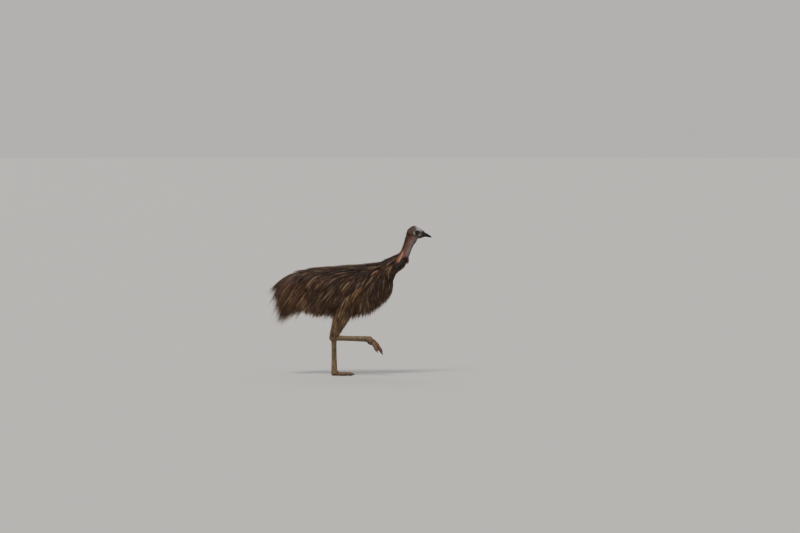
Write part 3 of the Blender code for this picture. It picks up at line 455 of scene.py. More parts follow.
def neck_line(grow=0.0):
    """The neck's centre line, with its half width and half depth along it."""
    shares = np.linspace(0, 1, len(NECK))
    rows = smooth([(share, *row) for share, row in zip(shares, NECK)], np.linspace(0, 1, 40))
    path = [(x, MIDLINE_Y, z) for x, z, _, _ in rows]
    return path, [(width + grow, depth + grow) for _, _, depth, width in rows]


def shank_line(side, grow=0.0):
    """The drumstick's bowed centre line, with its half width and half depth along it."""
    knee, hock, _ = (Vector(point) for point in LEGS[side])
    shares = np.linspace(0, 1, 17)
    bow = Vector((SHANK_BOW, 0, 0))
    path = [knee.lerp(hock, share) + bow * math.sin(math.pi * share) for share in shares]
    return path, [(width + grow, depth + grow) for depth, width in smooth(SHANK_SIZES, shares)]


NECK_TUBE = tube_of(*neck_line(), samples=60)
SHANK_TUBES = {side: tube_of(*shank_line(side)) for side in SIDES}


def off_body(points):
    """How far points are outside the trunk, the neck and both thighs."""
    tubes = [NECK_TUBE, *SHANK_TUBES.values()]
    return np.minimum.reduce([off_trunk(points)] + [off_tube(points, tube) for tube in tubes])


def off_head_and_neck(points):
    return np.minimum(off_tube(points, NECK_TUBE), off_skull(points))


def outward(field, points, step=0.0015):
    """A field's distances at points, and the directions away from the skin."""
    slope = np.empty_like(points)
    for axis in range(3):
        shift = np.zeros(3)
        shift[axis] = step
        slope[:, axis] = field(points + shift) - field(points - shift)
    return field(points), unit(slope)


# Meshes


def lofted(path, sizes, side, count):
    """A closed bmesh of ovals along a path, bridged one to the next. side is roughly across it."""
    path, side = np.array(path, float), np.array(side, float)
    along = unit(np.gradient(path, axis=0))
    mesh, loops = bmesh.new(), []
    for index, (centre, forward, (width, depth)) in enumerate(zip(path, along, sizes)):
        across = unit(side - forward * (side @ forward))
        up = np.cross(forward, across)
        turned = Matrix((across * width, up * depth, forward)).transposed().to_4x4()
        turned.translation = Vector(centre)
        at_end = index in (0, len(path) - 1)
        made = bmesh.ops.create_circle(mesh, cap_ends=at_end, segments=count, radius=1.0, matrix=turned)
        loops.append({edge for vert in made["verts"] for edge in vert.link_edges})
    for low, high in zip(loops, loops[1:]):
        bmesh.ops.bridge_loops(mesh, edges=list(low | high))
    bmesh.ops.recalc_face_normals(mesh, faces=mesh.faces)
    return mesh


def rounded(path, sizes):
    """The same path and sizes with domed ends."""
    path, sizes = [np.array(p, float) for p in path], [np.array(s, float) for s in sizes]
    for _ in range(2):
        way = unit(path[0] - path[1])
        reach = sizes[0].min()
        domes = [(0.97, 0.22), (0.80, 0.58), (0.45, 0.88)]
        path = [path[0] + way * reach * out for out, _ in domes] + path
        sizes = [sizes[0] * share for _, share in domes] + sizes
        path.reverse()
        sizes.reverse()
    return path, sizes


def as_object(name, mesh):
    """Makes an object of a bmesh."""
    data = bpy.data.meshes.new(name)
    mesh.to_mesh(data)
    mesh.free()
    made = bpy.data.objects.new(name, data)
    bpy.context.scene.collection.objects.link(made)
    return made


def applied(obj):
    """Gives an object the mesh that its modifiers make."""
    bpy.context.view_layer.update()
    evaluated = obj.evaluated_get(bpy.context.evaluated_depsgraph_get())
    data = bpy.data.meshes.new_from_object(evaluated)
    obj.modifiers.clear()
    obj.data = data
    return obj


def joined(forms):
    """One bmesh of several."""
    whole = bmesh.new()
    for form in forms:
        data = bpy.data.meshes.new("form")
        form.to_mesh(data)
        form.free()
        whole.from_mesh(data)
        bpy.data.meshes.remove(data)
    return whole


def fused(name, forms, voxel, smoothing):
    """One closed skin round several overlapping closed forms, evened out."""
    made = as_object(name, joined(forms))
    remesh = made.modifiers.new("fuse", "REMESH")
    remesh.mode = "VOXEL"
    remesh.voxel_size = voxel
    even = made.modifiers.new("even", "SMOOTH")
    even.factor = 0.5
    even.iterations = smoothing
    return applied(made)


def united(base, other):
    """Joins another closed object to a base, in one Boolean, and removes it."""
    join = base.modifiers.new("join", "BOOLEAN")
    join.operation = "UNION"
    join.object = other
    join.solver = "MANIFOLD"
    applied(base)
    bpy.data.objects.remove(other)
    return base


def points_of(obj):
    points = np.empty(len(obj.data.vertices) * 3)
    obj.data.vertices.foreach_get("co", points)
    return points.reshape(-1, 3)


def normals_of(obj):
    normals = np.empty(len(obj.data.vertices) * 3)
    obj.data.vertex_normals.foreach_get("vector", normals)
    return normals.reshape(-1, 3)


def moved(obj, points):
    obj.data.vertices.foreach_set("co", points.ravel())
    obj.data.update()


def raised(obj, heights):
    """Moves each vertex along its normal."""
    moved(obj, points_of(obj) + normals_of(obj) * heights[:, None])


def grounded(obj):
    """Flattens on the floor what would reach through it."""
    points = points_of(obj)
    points[:, 2] = np.maximum(points[:, 2], 0.0)
    moved(obj, points)


def painted(obj, colours):
    """Stores a linear colour for each vertex, which the piece's material reads."""
    attribute = obj.data.color_attributes.new("marking", "FLOAT_COLOR", "POINT")
    attribute.data.foreach_set("color", np.column_stack([colours, np.ones(len(colours))]).ravel())


def finished(obj, material, slot, *nodes):
    """Gives a piece its material and its place in the model."""
    obj.data.materials.clear()
    obj.data.materials.append(material)
    obj.data.shade_smooth()
    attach(obj, "root")
    if nodes:
        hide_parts(*nodes)


# Materials


def add_node(tree, kind, inputs=None, **settings):
    """Adds a shader node. inputs gives each socket a value, or a socket to link it from."""
    made = tree.nodes.new("ShaderNode" + kind)
    for name, value in settings.items():
        setattr(made, name, value)
    for name, value in (inputs or {}).items():
        if isinstance(value, bpy.types.NodeSocket):
            tree.links.new(value, made.inputs[name])
        else:
            made.inputs[name].default_value = value
    return made


def new_material(name, sockets):
    """A material, with the sockets of its shader set by name."""
    material = bpy.data.materials.new(name)
    material.use_nodes = True
    shader = material.node_tree.nodes["Principled BSDF"]
    for socket, value in {"Metallic": 0.0, **sockets}.items():
        shader.inputs[socket].default_value = value
    return material, material.node_tree, shader


def marking_of(tree):
    """The colour that painted stored."""
    return add_node(tree, "Attribute", attribute_name="marking").outputs["Color"]


def object_coordinates(tree, stretch=(1.0, 1.0, 1.0), turn=0.0):
    """Object coordinates, squeezed along an axis to draw a pattern out along it."""
    place = add_node(tree, "TexCoord").outputs["Object"]
    settings = {"Vector": place, "Scale": stretch, "Rotation": (0.0, turn, 0.0)}
    return add_node(tree, "Mapping", settings).outputs["Vector"]


def noise_at(tree, place, millimetres, detail):
    """Noise in blotches of a real size."""
    settings = {"Vector": place, "Scale": 1000 / millimetres, "Detail": detail}
    return add_node(tree, "TexNoise", settings).outputs["Fac"]


def mapped(tree, value, low, high, start=0.0, end=1.0):
    """A value that runs from start to end, brought to run from low to high."""
    settings = {"Value": value, "From Min": start, "From Max": end, "To Min": low, "To Max": high}
    return add_node(tree, "MapRange", settings).outputs["Result"]


def combined(tree, operation, first, second):
    return add_node(tree, "Math", {0: first, 1: second}, operation=operation).outputs[0]


def multiplied(tree, colour, factor):
    mixed = add_node(tree, "Mix", {0: 1.0, 6: colour, 7: factor}, data_type="RGBA", blend_type="MULTIPLY")
    return mixed.outputs[2]


def varied(tree, colour, place, millimetres, low, high, detail=3.0):
    """A colour made darker and lighter in blotches of a real size. Gives the colour and the noise."""
    noise = noise_at(tree, place, millimetres, detail)
    return multiplied(tree, colour, mapped(tree, noise, low, high, 0.3, 0.7)), noise


def bumped(tree, shader, height, millimetres, strength):
    """Connects a height, with the depth that 1 stands for in millimetres."""
    bump = add_node(tree, "Bump", {"Height": height, "Distance": millimetres / 1000, "Strength": strength})
    tree.links.new(bump.outputs["Normal"], shader.inputs["Normal"])


def plumage_material():
    """Loose keratin barbs without hooks: coarse and dry, with a soft gloss and a faint violet sheen."""
    sockets = {"Roughness": 0.46, "IOR": 1.54, "Specular IOR Level": 0.32}
    sheen = {"Sheen Weight": 0.05, "Sheen Roughness": 0.40, "Sheen Tint": (*linear(SHEEN_VIOLET), 1.0)}
    material, tree, shader = new_material("plumage_barbs", {**sockets, **sheen})
    colour, _ = varied(tree, marking_of(tree), object_coordinates(tree), 26.0, 0.78, 1.25)
    tree.links.new(colour, shader.inputs["Base Color"])
    return material


def bare_skin_material():
    """Bare skin of the head and neck: pebbled with papillae about 1.9 mm across, dull, a little oily."""
    sockets = {"IOR": 1.42, "Specular IOR Level": 0.40}
    glow = {"Subsurface Weight": 0.06, "Subsurface Radius": (0.004, 0.0015, 0.001)}
    material, tree, shader = new_material("bare_skin", {**sockets, **glow})
    place = object_coordinates(tree)
    colour, _ = varied(tree, marking_of(tree), place, 7.0, 0.72, 1.25, 5.0)
    pebbles = add_node(tree, "TexVoronoi", {"Vector": place, "Scale": 1000 / 1.9}).outputs["Distance"]
    folds = noise_at(tree, place, 5.0, 4.0)
    height = combined(tree, "ADD", combined(tree, "MULTIPLY", pebbles, -0.6), folds)
    gaps = mapped(tree, pebbles, 1.0, 0.72, 0.35, 0.75)
    tree.links.new(multiplied(tree, colour, gaps), shader.inputs["Base Color"])
    tree.links.new(mapped(tree, folds, 0.40, 0.66), shader.inputs["Roughness"])
    bumped(tree, shader, height, 0.9, 0.7)
    return material


def leg_skin_material():
    """Scaled skin: plates in front, and a net of small horny scales about 3.6 mm across elsewhere."""
    sockets = {"Roughness": 0.44, "IOR": 1.5, "Specular IOR Level": 0.38}
    material, tree, shader = new_material("leg_scales", sockets)
    place = object_coordinates(tree)
    colour, _ = varied(tree, marking_of(tree), place, 16.0, 0.70, 1.28, 4.0)
    cells = {"Vector": place, "Scale": 1000 / 3.6}
    net = add_node(tree, "TexVoronoi", cells, feature="DISTANCE_TO_EDGE").outputs["Distance"]
    plates = add_node(tree, "Attribute", attribute_name="plate").outputs["Fac"]
    scales = combined(tree, "MAXIMUM", mapped(tree, net, 0.0, 1.0, 0.0, 0.16), plates)
    # Darker along the edges of the scales and plates
    darker_at_scale_edges = multiplied(tree, colour, mapped(tree, scales, 0.52, 1.0))
    tree.links.new(darker_at_scale_edges, shader.inputs["Base Color"])
    grain = combined(tree, "MULTIPLY", noise_at(tree, place, 1.6, 3.0), 0.25)
    bumped(tree, shader, combined(tree, "ADD", scales, grain), 0.8, 0.8)
    return material


def horn_material(name, roughness, grain_mm, along, turn, depth_mm, coat=0.0):
    """Keratin horn: dense, with growth lines drawn out along it, worn dull in places."""
    gloss = {"Coat Weight": coat, "Coat Roughness": 0.25}
    material, tree, shader = new_material(name, {"IOR": 1.55, "Specular IOR Level": 0.22, **gloss})
    lines = object_coordinates(tree, (along, 1.0, 1.0), turn)
    colour, noise = varied(tree, marking_of(tree), lines, grain_mm, 0.66, 1.34, 5.0)
    tree.links.new(colour, shader.inputs["Base Color"])
    worn = mapped(tree, noise, roughness - 0.1, roughness + 0.18)
    tree.links.new(worn, shader.inputs["Roughness"])
    bumped(tree, shader, noise, depth_mm, 0.6)
    return material


def eye_material():
    """A wet cornea over a dark brown iris: one small sharp glint."""
    gloss = {"Specular IOR Level": 0.0, "Coat Weight": 0.8, "Coat Roughness": 0.03}
    material, tree, shader = new_material("cornea", {"Roughness": 0.06, "IOR": 1.38, **gloss})
    tree.links.new(marking_of(tree), shader.inputs["Base Color"])
    return material


def wattle_material():
    """Thin wrinkled skin, dull red, with the light coming a little way in."""
    glow = {"Subsurface Weight": 0.12, "Subsurface Radius": (0.006, 0.002, 0.001)}
    material, tree, shader = new_material("wattle_skin", {"Roughness": 0.5, "IOR": 1.42, **glow})
    colour, noise = varied(tree, marking_of(tree), object_coordinates(tree), 4.0, 0.7, 1.25, 4.0)
    tree.links.new(colour, shader.inputs["Base Color"])
    bumped(tree, shader, noise, 0.8, 0.7)
    return material


def floor_material():
    """Matt painted board, pale and nearly even."""
    material, tree, shader = new_material("matt_paint", {"Roughness": 0.85, "IOR": 1.5})
    paint = (*linear(FLOOR_PALE), 1.0)
    colour, _ = varied(tree, paint, object_coordinates(tree), 900.0, 0.985, 1.0)
    tree.links.new(colour, shader.inputs["Base Color"])
    return material


# Markings, shared by the skin and the coat


def along_neck(points):
    """Share of the way up the neck, and how far each point faces forward, from -1 at the nape to 1."""
    nearest, offset = nearest_on(points, NECK_TUBE)
    tangent = unit(np.gradient(NECK_TUBE[:, :3], axis=0))[nearest]
    front = np.column_stack([tangent[:, 2], np.zeros(len(points)), -tangent[:, 0]])
    facing = (offset * front).sum(axis=1) / (np.linalg.norm(offset, axis=1) + 1e-9)
    return nearest / (len(NECK_TUBE) - 1), facing


def off_stripe(points):
    """How far points are, seen from the side, from the middle of the bare stripe on the lower neck."""
    upper, lower = np.array(STRIPE[0]), np.array(STRIPE[1])
    way = lower - upper
    at = points[:, [0, 2]] - upper
    along = np.clip(at @ way / (way @ way), 0, 1)
    return np.linalg.norm(at - along[:, None] * way, axis=1)


def markings(points):
    """The colour of the bird at any point of its skin."""
    share, facing = along_neck(points)
    forward, _, above = in_head(points)
    facing = facing + mottle(points, 0.030, 5) * 0.12
    on_head = ramp(forward * 0.4 + above, -0.075, -0.035) * ramp(forward, -0.075, -0.045)
    on_neck = ramp(share, 0.18, 0.30)
    low = ramp(share, 0.50, 0.38)
    neck = blended(
        points,
        NAPE_DARK,
        (ramp(facing, -0.90, -0.50), NAPE_RUST),
        (ramp(facing, -0.25, 0.12), NECK_MAUVE),
        (ramp(facing, 0.15, 0.50) * (1 - 0.5 * ramp(share, 0.80, 0.95)), NECK_GREY),
        (ramp(facing, 0.74, 0.98), THROAT_DARK),
        (low * ramp(facing, -0.05, 0.30), FRONT_BLACK),
        (bell(off_stripe(points) - 0.012, 0.010) * ramp(facing, 0.0, -0.4), NECK_ORANGE),
        (bell(off_stripe(points), 0.0062), NECK_STRIPE),
    )
    to_eye = np.hypot(forward - EYE_AT[0], above - EYE_AT[1])
    blotch = mottle(points, 0.012, 6) * 0.006
    head = blended(
        points,
        NAPE_DARK,
        (bell(np.hypot(forward + 0.042, above + 0.004), 0.020) * 0.8, NAPE_RUST),
        (ramp(forward + above * 0.3 + blotch, -0.022, 0.004), LORE_GREY),
        (ramp(-above - forward * 0.1, 0.014, 0.032) * ramp(forward, -0.030, 0.004), NECK_MAUVE),
        (ramp(above + blotch, 0.021, 0.033) * ramp(forward, -0.002, 0.016), CASQUE_PALE),
        (bell(np.hypot(forward + 0.0035, above * 0.8) + blotch * 0.3, 0.0085), CHEEK_PALE),
        (bell(np.hypot(forward - 0.040, above + 0.004) + blotch * 0.3, 0.0075) * 0.7, CHEEK_PALE),
        (bell(np.hypot(forward - EAR_AT[0] - 0.004, above - EAR_AT[1]), 0.011) * 0.7, THROAT_DARK),
        (bell(to_eye - 0.0125, 0.0055), EYE_RING),
    )
    return blended(points, SKIN_DARK, (on_neck, neck), (on_head, head))


# Skin


def skull_form():
    """The skull from the back of the head to the root of the bill."""
    path, sizes = [], []
    for forward in np.linspace(SKULL[0][0], SKULL_END, 44):
        top, under, half_width = smooth(SKULL, forward)
        path.append(head_point(forward, 0, (top + under) / 2))
        sizes.append((half_width, (top - under) / 2))
    return lofted(path, sizes, (0, 1, 0), 40)


def trunk_form():
    """The trunk, a little under its field's surface."""
    path, sizes = [], []
    for share in 0.5 - 0.5 * np.cos(np.linspace(0, math.pi, 30)):
        x = TRUNK[0][0] + (TRUNK[-1][0] - TRUNK[0][0]) * share
        height, half_height, half_width = smooth(TRUNK, x)
        path.append((x, MIDLINE_Y, height))
        sizes.append((half_width - TRUNK_SUNK, half_height - TRUNK_SUNK))
    straight = [(x, y, path[len(path) // 2][2]) for x, y, _ in path]
    mesh = lofted(straight, sizes, (0, 1, 0), 40)
    for vert in mesh.verts:
        vert.co.z += float(smooth(TRUNK, vert.co.x)[0]) - straight[0][2]
    return mesh


def face_relief(points):
    """Heights of the folds, rims and hollows of the face and the bare neck."""
    forward, side, above = in_head(points)
    share, facing = along_neck(points)
    to_eye = np.hypot(forward - EYE_AT[0], (above - EYE_AT[1]) * 1.08)
    outer = ramp(np.abs(side), 0.010, 0.018)
    upper = ramp(above - EYE_AT[1], -0.004, 0.006)
    height = -SOCKET_DEPTH * (1 - ramp(to_eye, 0.0070, 0.0094)) * outer
    for rise, away, width, all_round, above_eye in LID_FOLDS:
        height += rise * bell(to_eye - away, width) * (all_round + above_eye * upper) * outer
    to_ear = np.hypot(forward - EAR_AT[0], (above - EAR_AT[1]) * 0.8)
    height += 0.0013 * bell(to_ear - EAR_RADIUS - 0.0014, 0.0014) * outer
    height -= EAR_DEPTH * (1 - ramp(to_ear, EAR_RADIUS * 0.55, EAR_RADIUS)) * outer
    span = np.clip((forward - GAPE[0]) / (MOUTH_BACK[0] + 0.006 - GAPE[0]), 0, 1)
    line = GAPE[1] + (MOUTH_BACK[1] + 0.001 - GAPE[1]) * span - 0.0012 * np.sin(span * math.pi)
    along = ramp(forward, GAPE[0] - 0.002, GAPE[0] + 0.002)
    height -= MOUTH_DEPTH * bell(above - line, 0.0010) * along
    height += LIP_RISE * (bell(above - line - 0.0026, 0.0016) + bell(above - line + 0.0026, 0.0016)) * along
    height += 0.0016 * bell(above - 0.024 - forward * 0.05, 0.0050) * ramp(forward, -0.004, 0.016) * outer
    height -= 0.0014 * bell(np.hypot(forward - 0.038, above - 0.006), 0.0080)
    height += 0.0008 * ramp(forward, 0.046, 0.053)
    jaw = above + 0.034 + (forward - 0.010) * 0.32
    height -= 0.0018 * bell(jaw, 0.0032) * ramp(forward, -0.034, -0.010) * (1 - ramp(forward, 0.030, 0.045))
    height += 0.0055 * bell(side, 0.0115) * bell(forward + 0.041, 0.013) * ramp(above, 0.004, 0.016)
    beside_casque = ramp(above, 0.026, 0.036) * ramp(-forward, -0.045, -0.020)
    height += 0.0022 * bell(np.abs(side) - 0.013, 0.0045) * beside_casque
    on_neck = (1 - ramp(forward * 0.5 + above, -0.070, -0.040)) * ramp(share, 0.34, 0.46)
    wander = mottle(points, 0.045, 8) * 1.6
    rings = np.sin(share * 2 * math.pi * NECK_RINGS + wander + facing * 1.5)
    rings = 0.00050 * rings * (0.4 + 0.6 * ramp(facing, -0.2, 0.6))
    height += (rings + 0.0010 * mottle(points, 0.018, 9)) * on_neck
    pleats = np.sin(np.arctan2(points[:, 1] - MIDLINE_Y, facing * 0.03) * 9 + wander)
    height += 0.00055 * pleats * on_neck * ramp(facing, 0.1, 0.7)
    return height + 0.00035 * mottle(points, 0.0075, 10)


def make_skin(material):
    """One skin over the head, neck, trunk and thighs."""
    head = fused("skin", [skull_form(), lofted(*neck_line(-NECK_SUNK), (0, 1, 0), 40)], SKIN_GRID, 6)
    raised(head, face_relief(points_of(head)))
    thighs = [lofted(*rounded(*shank_line(side, -THIGH_SUNK)), (0, 1, 0), 28) for side in SIDES]
    skin = united(head, fused("flesh", [trunk_form(), *thighs], FLESH_GRID, 4))
    painted(skin, markings(points_of(skin)))
    nodes = ["head", "neck_upper", "neck_lower", "torso", "tail", "shank_left", "shank_right"]
    finished(skin, material, "head_skin", *nodes)


# Head pieces


def bill_form():
    """Bill as one closed form, with a tip that turns down a little. Its root lies under the skin."""
    path, sizes = [], []
    for share in np.linspace(0, 1, 70) ** 0.9:
        forward = BILL_ROOT + (SKULL[-1][0] + 0.0005 - BILL_ROOT) * share
        top, under, half_width = smooth(SKULL, forward)
        blunt = math.sqrt(max(0.03, 1 - max(0.0, (share - 0.93) / 0.07) ** 2))
        sunk = 0.0012 * float(1 - ramp(forward, BILL_ROOT + 0.002, BILL_ROOT + 0.008))
        path.append(head_point(forward, 0, (top + under) / 2))
        sizes.append((half_width * blunt - sunk, (top - under) / 2 * blunt - sunk))
    return lofted(path, sizes, (0, 1, 0), 48)


def parted(mesh, point, normal):
    """What of a bmesh lies behind a plane, closed along the cut."""
    geometry = mesh.verts[:] + mesh.edges[:] + mesh.faces[:]
    bmesh.ops.bisect_plane(mesh, geom=geometry, plane_co=point, plane_no=normal, clear_outer=True)
    rim = [edge for edge in mesh.edges if edge.is_boundary]
    bmesh.ops.holes_fill(mesh, edges=rim, sides=0)
    bmesh.ops.recalc_face_normals(mesh, faces=mesh.faces)
    return mesh


def horn_colours(points, root, tip, base_colour, end_colour):
    """Horn that changes colour from its root to its tip, with pale worn flecks."""
    way = np.array(tip, float) - np.array(root, float)
    share = np.clip((points - np.array(root)) @ way / (way @ way), 0, 1)
    wear = ramp(mottle(points, 0.006, 21), 0.35, 0.95) * 0.12
    return blended(
        points,
        base_colour,
        (share, end_colour),
        (wear, HORN_GREY),
    )


def make_bill(material):
    """Both halves of the bill, with the nostrils and a groove above them in the upper one."""
    back = head_point(MOUTH_BACK[0], 0, MOUTH_BACK[1])
    along = (head_point(MOUTH_FRONT[0], 0, MOUTH_FRONT[1]) - back).normalized()
    up = Vector((-along.z, 0, along.x))
    upper = as_object("bill_upper_horn", parted(bill_form(), back + up * UPPER_BILL_LIFT, -up))
    lower_form = parted(bill_form(), back + up * LOWER_BILL_LIFT, up)
    for vert in lower_form.verts:
        vert.co.y = MIDLINE_Y + (vert.co.y - MIDLINE_Y) * LOWER_BILL_NARROWING
    lower = as_object("bill_lower_horn", lower_form)
    for piece in (upper, lower):
        fine = piece.modifiers.new("fine", "REMESH")
        fine.mode = "VOXEL"
        fine.voxel_size = BILL_GRID
        even = piece.modifiers.new("even", "SMOOTH")
        even.iterations = 2
        applied(piece)
    points = points_of(upper)
    forward, side, above = in_head(points)
    past = forward - NOSTRIL_AT[0]
    slit = np.hypot(past * 0.26, above - NOSTRIL_AT[1] + past * 0.24)
    outer = ramp(np.abs(side), 0.004, 0.007)
    top = smooth(SKULL, forward)[:, 0]
    height = -0.0030 * (1 - ramp(slit, 0.0008, 0.0020)) * outer
    height += 0.0006 * bell(slit - 0.0030, 0.0011) * outer
    height += 0.0007 * bell(side, 0.0028) * ramp(above, top - 0.004, top - 0.001)
    groove = ramp(forward, 0.056, 0.072) * (1 - ramp(forward, 0.10, 0.12))
    height -= 0.0007 * bell(above - top + 0.0075, 0.0022) * groove
    raised(upper, height + 0.00012 * mottle(points, 0.004, 22))
    root, tip = head_point(BILL_ROOT, 0, 0.0), head_point(SKULL[-1][0], 0, -0.004)
    for piece, node in ((upper, "bill_upper"), (lower, "bill_lower")):
        painted(piece, horn_colours(points_of(piece), root, tip, HORN_ROOT, HORN_BLACK))
        finished(piece, material, "horn", node)


def make_casque(material):
    """The low shield, with a keel along its top and faint growth ridges."""
    path, sizes = [], []
    for forward in np.linspace(CASQUE[0][0], CASQUE[-1][0], 48):
        top, half_width = smooth(CASQUE, forward)
        path.append(head_point(forward, 0, (top + CASQUE_FOOT) / 2))
        sizes.append((half_width, (top - CASQUE_FOOT) / 2))
    casque = fused("casque_horn", [lofted(path, sizes, (0, 1, 0), 36)], CASQUE_GRID, 3)
    points = points_of(casque)
    forward, side, above = in_head(points)
    top = smooth(CASQUE, forward)[:, 0]
    height = 0.0008 * bell(side, 0.0030) * ramp(above, top - 0.010, top)
    lines = forward * 0.4 - above * 0.9 + 0.0016 * mottle(points, 0.022, 31)
    height += 0.00014 * np.sin(lines * 2 * math.pi / 0.0046) + 0.0005 * mottle(points, 0.024, 32, 2)
    raised(casque, height)
    pale = ramp(forward + mottle(points, 0.014, 33) * 0.006, -0.014, 0.010)
    rim = ramp(above, top - 0.005, top) * 0.35
    painted(
        casque,
        blended(
            points,
            CASQUE_BROWN,
            (pale, CASQUE_PALE),
            (ramp(forward, 0.042, 0.066), LORE_GREY),
            (rim * (1 - pale), NAPE_RUST),
            (ramp(mottle(points, 0.007, 34), 0.5, 1.0) * 0.5, HORN_GREY),
        ),
    )
    finished(casque, material, "casque", "casque")


def make_eyes(material):
    """Dark brown eyes, set into their sockets, with a cornea that stands a little proud."""
    for side, hand in SIDES.items():
        ball = bmesh.new()
        bmesh.ops.create_uvsphere(ball, u_segments=48, v_segments=32, radius=EYE_RADIUS)
        bmesh.ops.rotate(ball, verts=ball.verts, matrix=Matrix.Rotation(math.pi / 2, 3, "X"))
        centre = head_point(EYE_AT[0], hand * EYE_OUT, EYE_AT[1])
        for vert in ball.verts:
            vert.co *= 1 + 0.045 * max(0.0, vert.co.normalized().y * hand) ** 12
        bmesh.ops.translate(ball, verts=ball.verts, vec=centre)
        eye = as_object(f"eyeball_{side}", ball)
        points = points_of(eye)
        away = unit(points - np.array(centre))
        radius = np.hypot(away[:, 0], away[:, 2])
        spokes = 0.5 + 0.5 * np.sin(np.arctan2(away[:, 2], away[:, 0]) * 34 + mottle(points, 0.004, 41) * 2)
        iris = linear(IRIS_BROWN) * (0.5 + 0.7 * spokes)[:, None]
        painted(
            eye,
            blended(
                points,
                iris,
                (1 - ramp(radius, 0.26, 0.32), PUPIL),
                (ramp(radius, 0.56, 0.66), EYE_RING),
            ),
        )
        finished(eye, material, "eye", f"eye_{side}")


def make_wattles(material):
    """Two thin folds that hang from the front of the neck."""
    for side, hand in SIDES.items():
        root = Vector((WATTLE_ROOT[0], MIDLINE_Y + hand * WATTLE_ROOT[1], WATTLE_ROOT[2]))
        tip = Vector((WATTLE_TIP[0], MIDLINE_Y + hand * WATTLE_TIP[1], WATTLE_TIP[2]))
        path, sizes = [], []
        for share in np.linspace(0, 1, 26):
            radius = float(smooth(WATTLE_SIZES, share)[0])
            path.append(root.lerp(tip, share) + Vector((WATTLE_BOW * math.sin(math.pi * share), 0, 0)))
            sizes.append((radius * 0.62, radius))
        fold = lofted(*rounded(path, sizes), (0, 1, 0), 24)
        wattle = fused(f"wattle_fold_{side}", [fold], WATTLE_GRID, 2)
        points = points_of(wattle)
        ridges = np.sin((points[:, 2] + mottle(points, 0.02, 51) * 0.002) * 2 * math.pi / 0.0042)
        raised(wattle, 0.0003 * ridges + 0.0006 * mottle(points, 0.007, 52))
        low = ramp(points[:, 2], WATTLE_ROOT[2], WATTLE_TIP[2])
        painted(wattle, blended(points, WATTLE_DARK, (low, WATTLE_RED)))
        finished(wattle, material, "wattle", f"wattle_{side}")


# Lower legs


def pad_form(side):
    """The pad under the toes' common root."""
    mesh = bmesh.new()
    bmesh.ops.create_uvsphere(mesh, u_segments=40, v_segments=24, radius=1.0)
    bmesh.ops.scale(mesh, verts=mesh.verts, vec=FOOT_PAD)
    if side == "left":
        bmesh.ops.translate(mesh, verts=mesh.verts, vec=(0.0, 0.0, PAD_HEIGHT))
    else:
        turn = Matrix.Rotation(math.radians(LIFTED_PAD_TILT), 4, "Y") @ Matrix.Scale(LIFTED_PAD_SWELL, 4)
        middle = Matrix.Translation(right_pad() + Vector(LIFTED_PAD_AT))
        bmesh.ops.transform(mesh, matrix=middle @ turn, verts=mesh.verts)
    return mesh


def right_pad():
    """Where the lifted foot's toes spring from."""
    _, hock, ankle = (Vector(point) for point in LEGS["right"])
    return ankle + (ankle - hock).normalized() * 0.010 + Vector((0, 0, -0.006))


def toe_path(side, toe):
    """Joints of one toe from inside the pad to its end, with the direction at the end."""
    _, spread, length, _, lifted_falls = toe
    if side == "left":
        yaw, path, falls = -math.radians(spread), [Vector(LEFT_TOE_START)], LEFT_TOE_FALL
    else:
        yaw, path, falls = math.radians(spread) * RIGHT_TOE_CLOSING, [right_pad()], lifted_falls
    for fall in falls:
        fall = math.radians(fall)
        way = Vector((math.cos(fall) * math.cos(yaw), math.sin(yaw), math.sin(fall)))
        path.append(path[-1] + way.normalized() * length / len(falls))
    return path, way.normalized()


def toe_line(side, toe, samples):
    """The toe's smooth centre line with its pads' swells, as path and sizes."""
    joints, _ = toe_path(side, toe)
    shares = np.linspace(0, 1, samples)
    path = smooth([(k / (len(joints) - 1), *joint) for k, joint in enumerate(joints)], shares)
    swell = 1 + 0.08 * np.cos(2 * math.pi * (shares * 3 - 0.5))
    radius = (TOE_RADIUS + TOE_SKIN) * (1 - TOE_TAPER * shares) * swell
    return path, np.column_stack([radius * 1.06, radius])


def beside(points, path, ahead):
    """Where points lie along a path and round it: distance off it, travel along it, and how far
    they face the way that ahead gives, from -1 to 1."""
    away = points[:, None, :] - path[None, :, :]
    index = np.argmin((away**2).sum(axis=2), axis=1)
    offset = away[np.arange(len(points)), index]
    reach = np.linalg.norm(offset, axis=1)
    tangent = unit(np.gradient(path, axis=0))[index]
    front = unit(ahead - tangent * (tangent @ ahead)[:, None])
    steps = np.linalg.norm(np.diff(path, axis=0), axis=1)
    travelled = np.concatenate([[0.0], np.cumsum(steps)])[index] + (offset * tangent).sum(axis=1)
    return reach, travelled, (offset * front).sum(axis=1) / (reach + 1e-9)


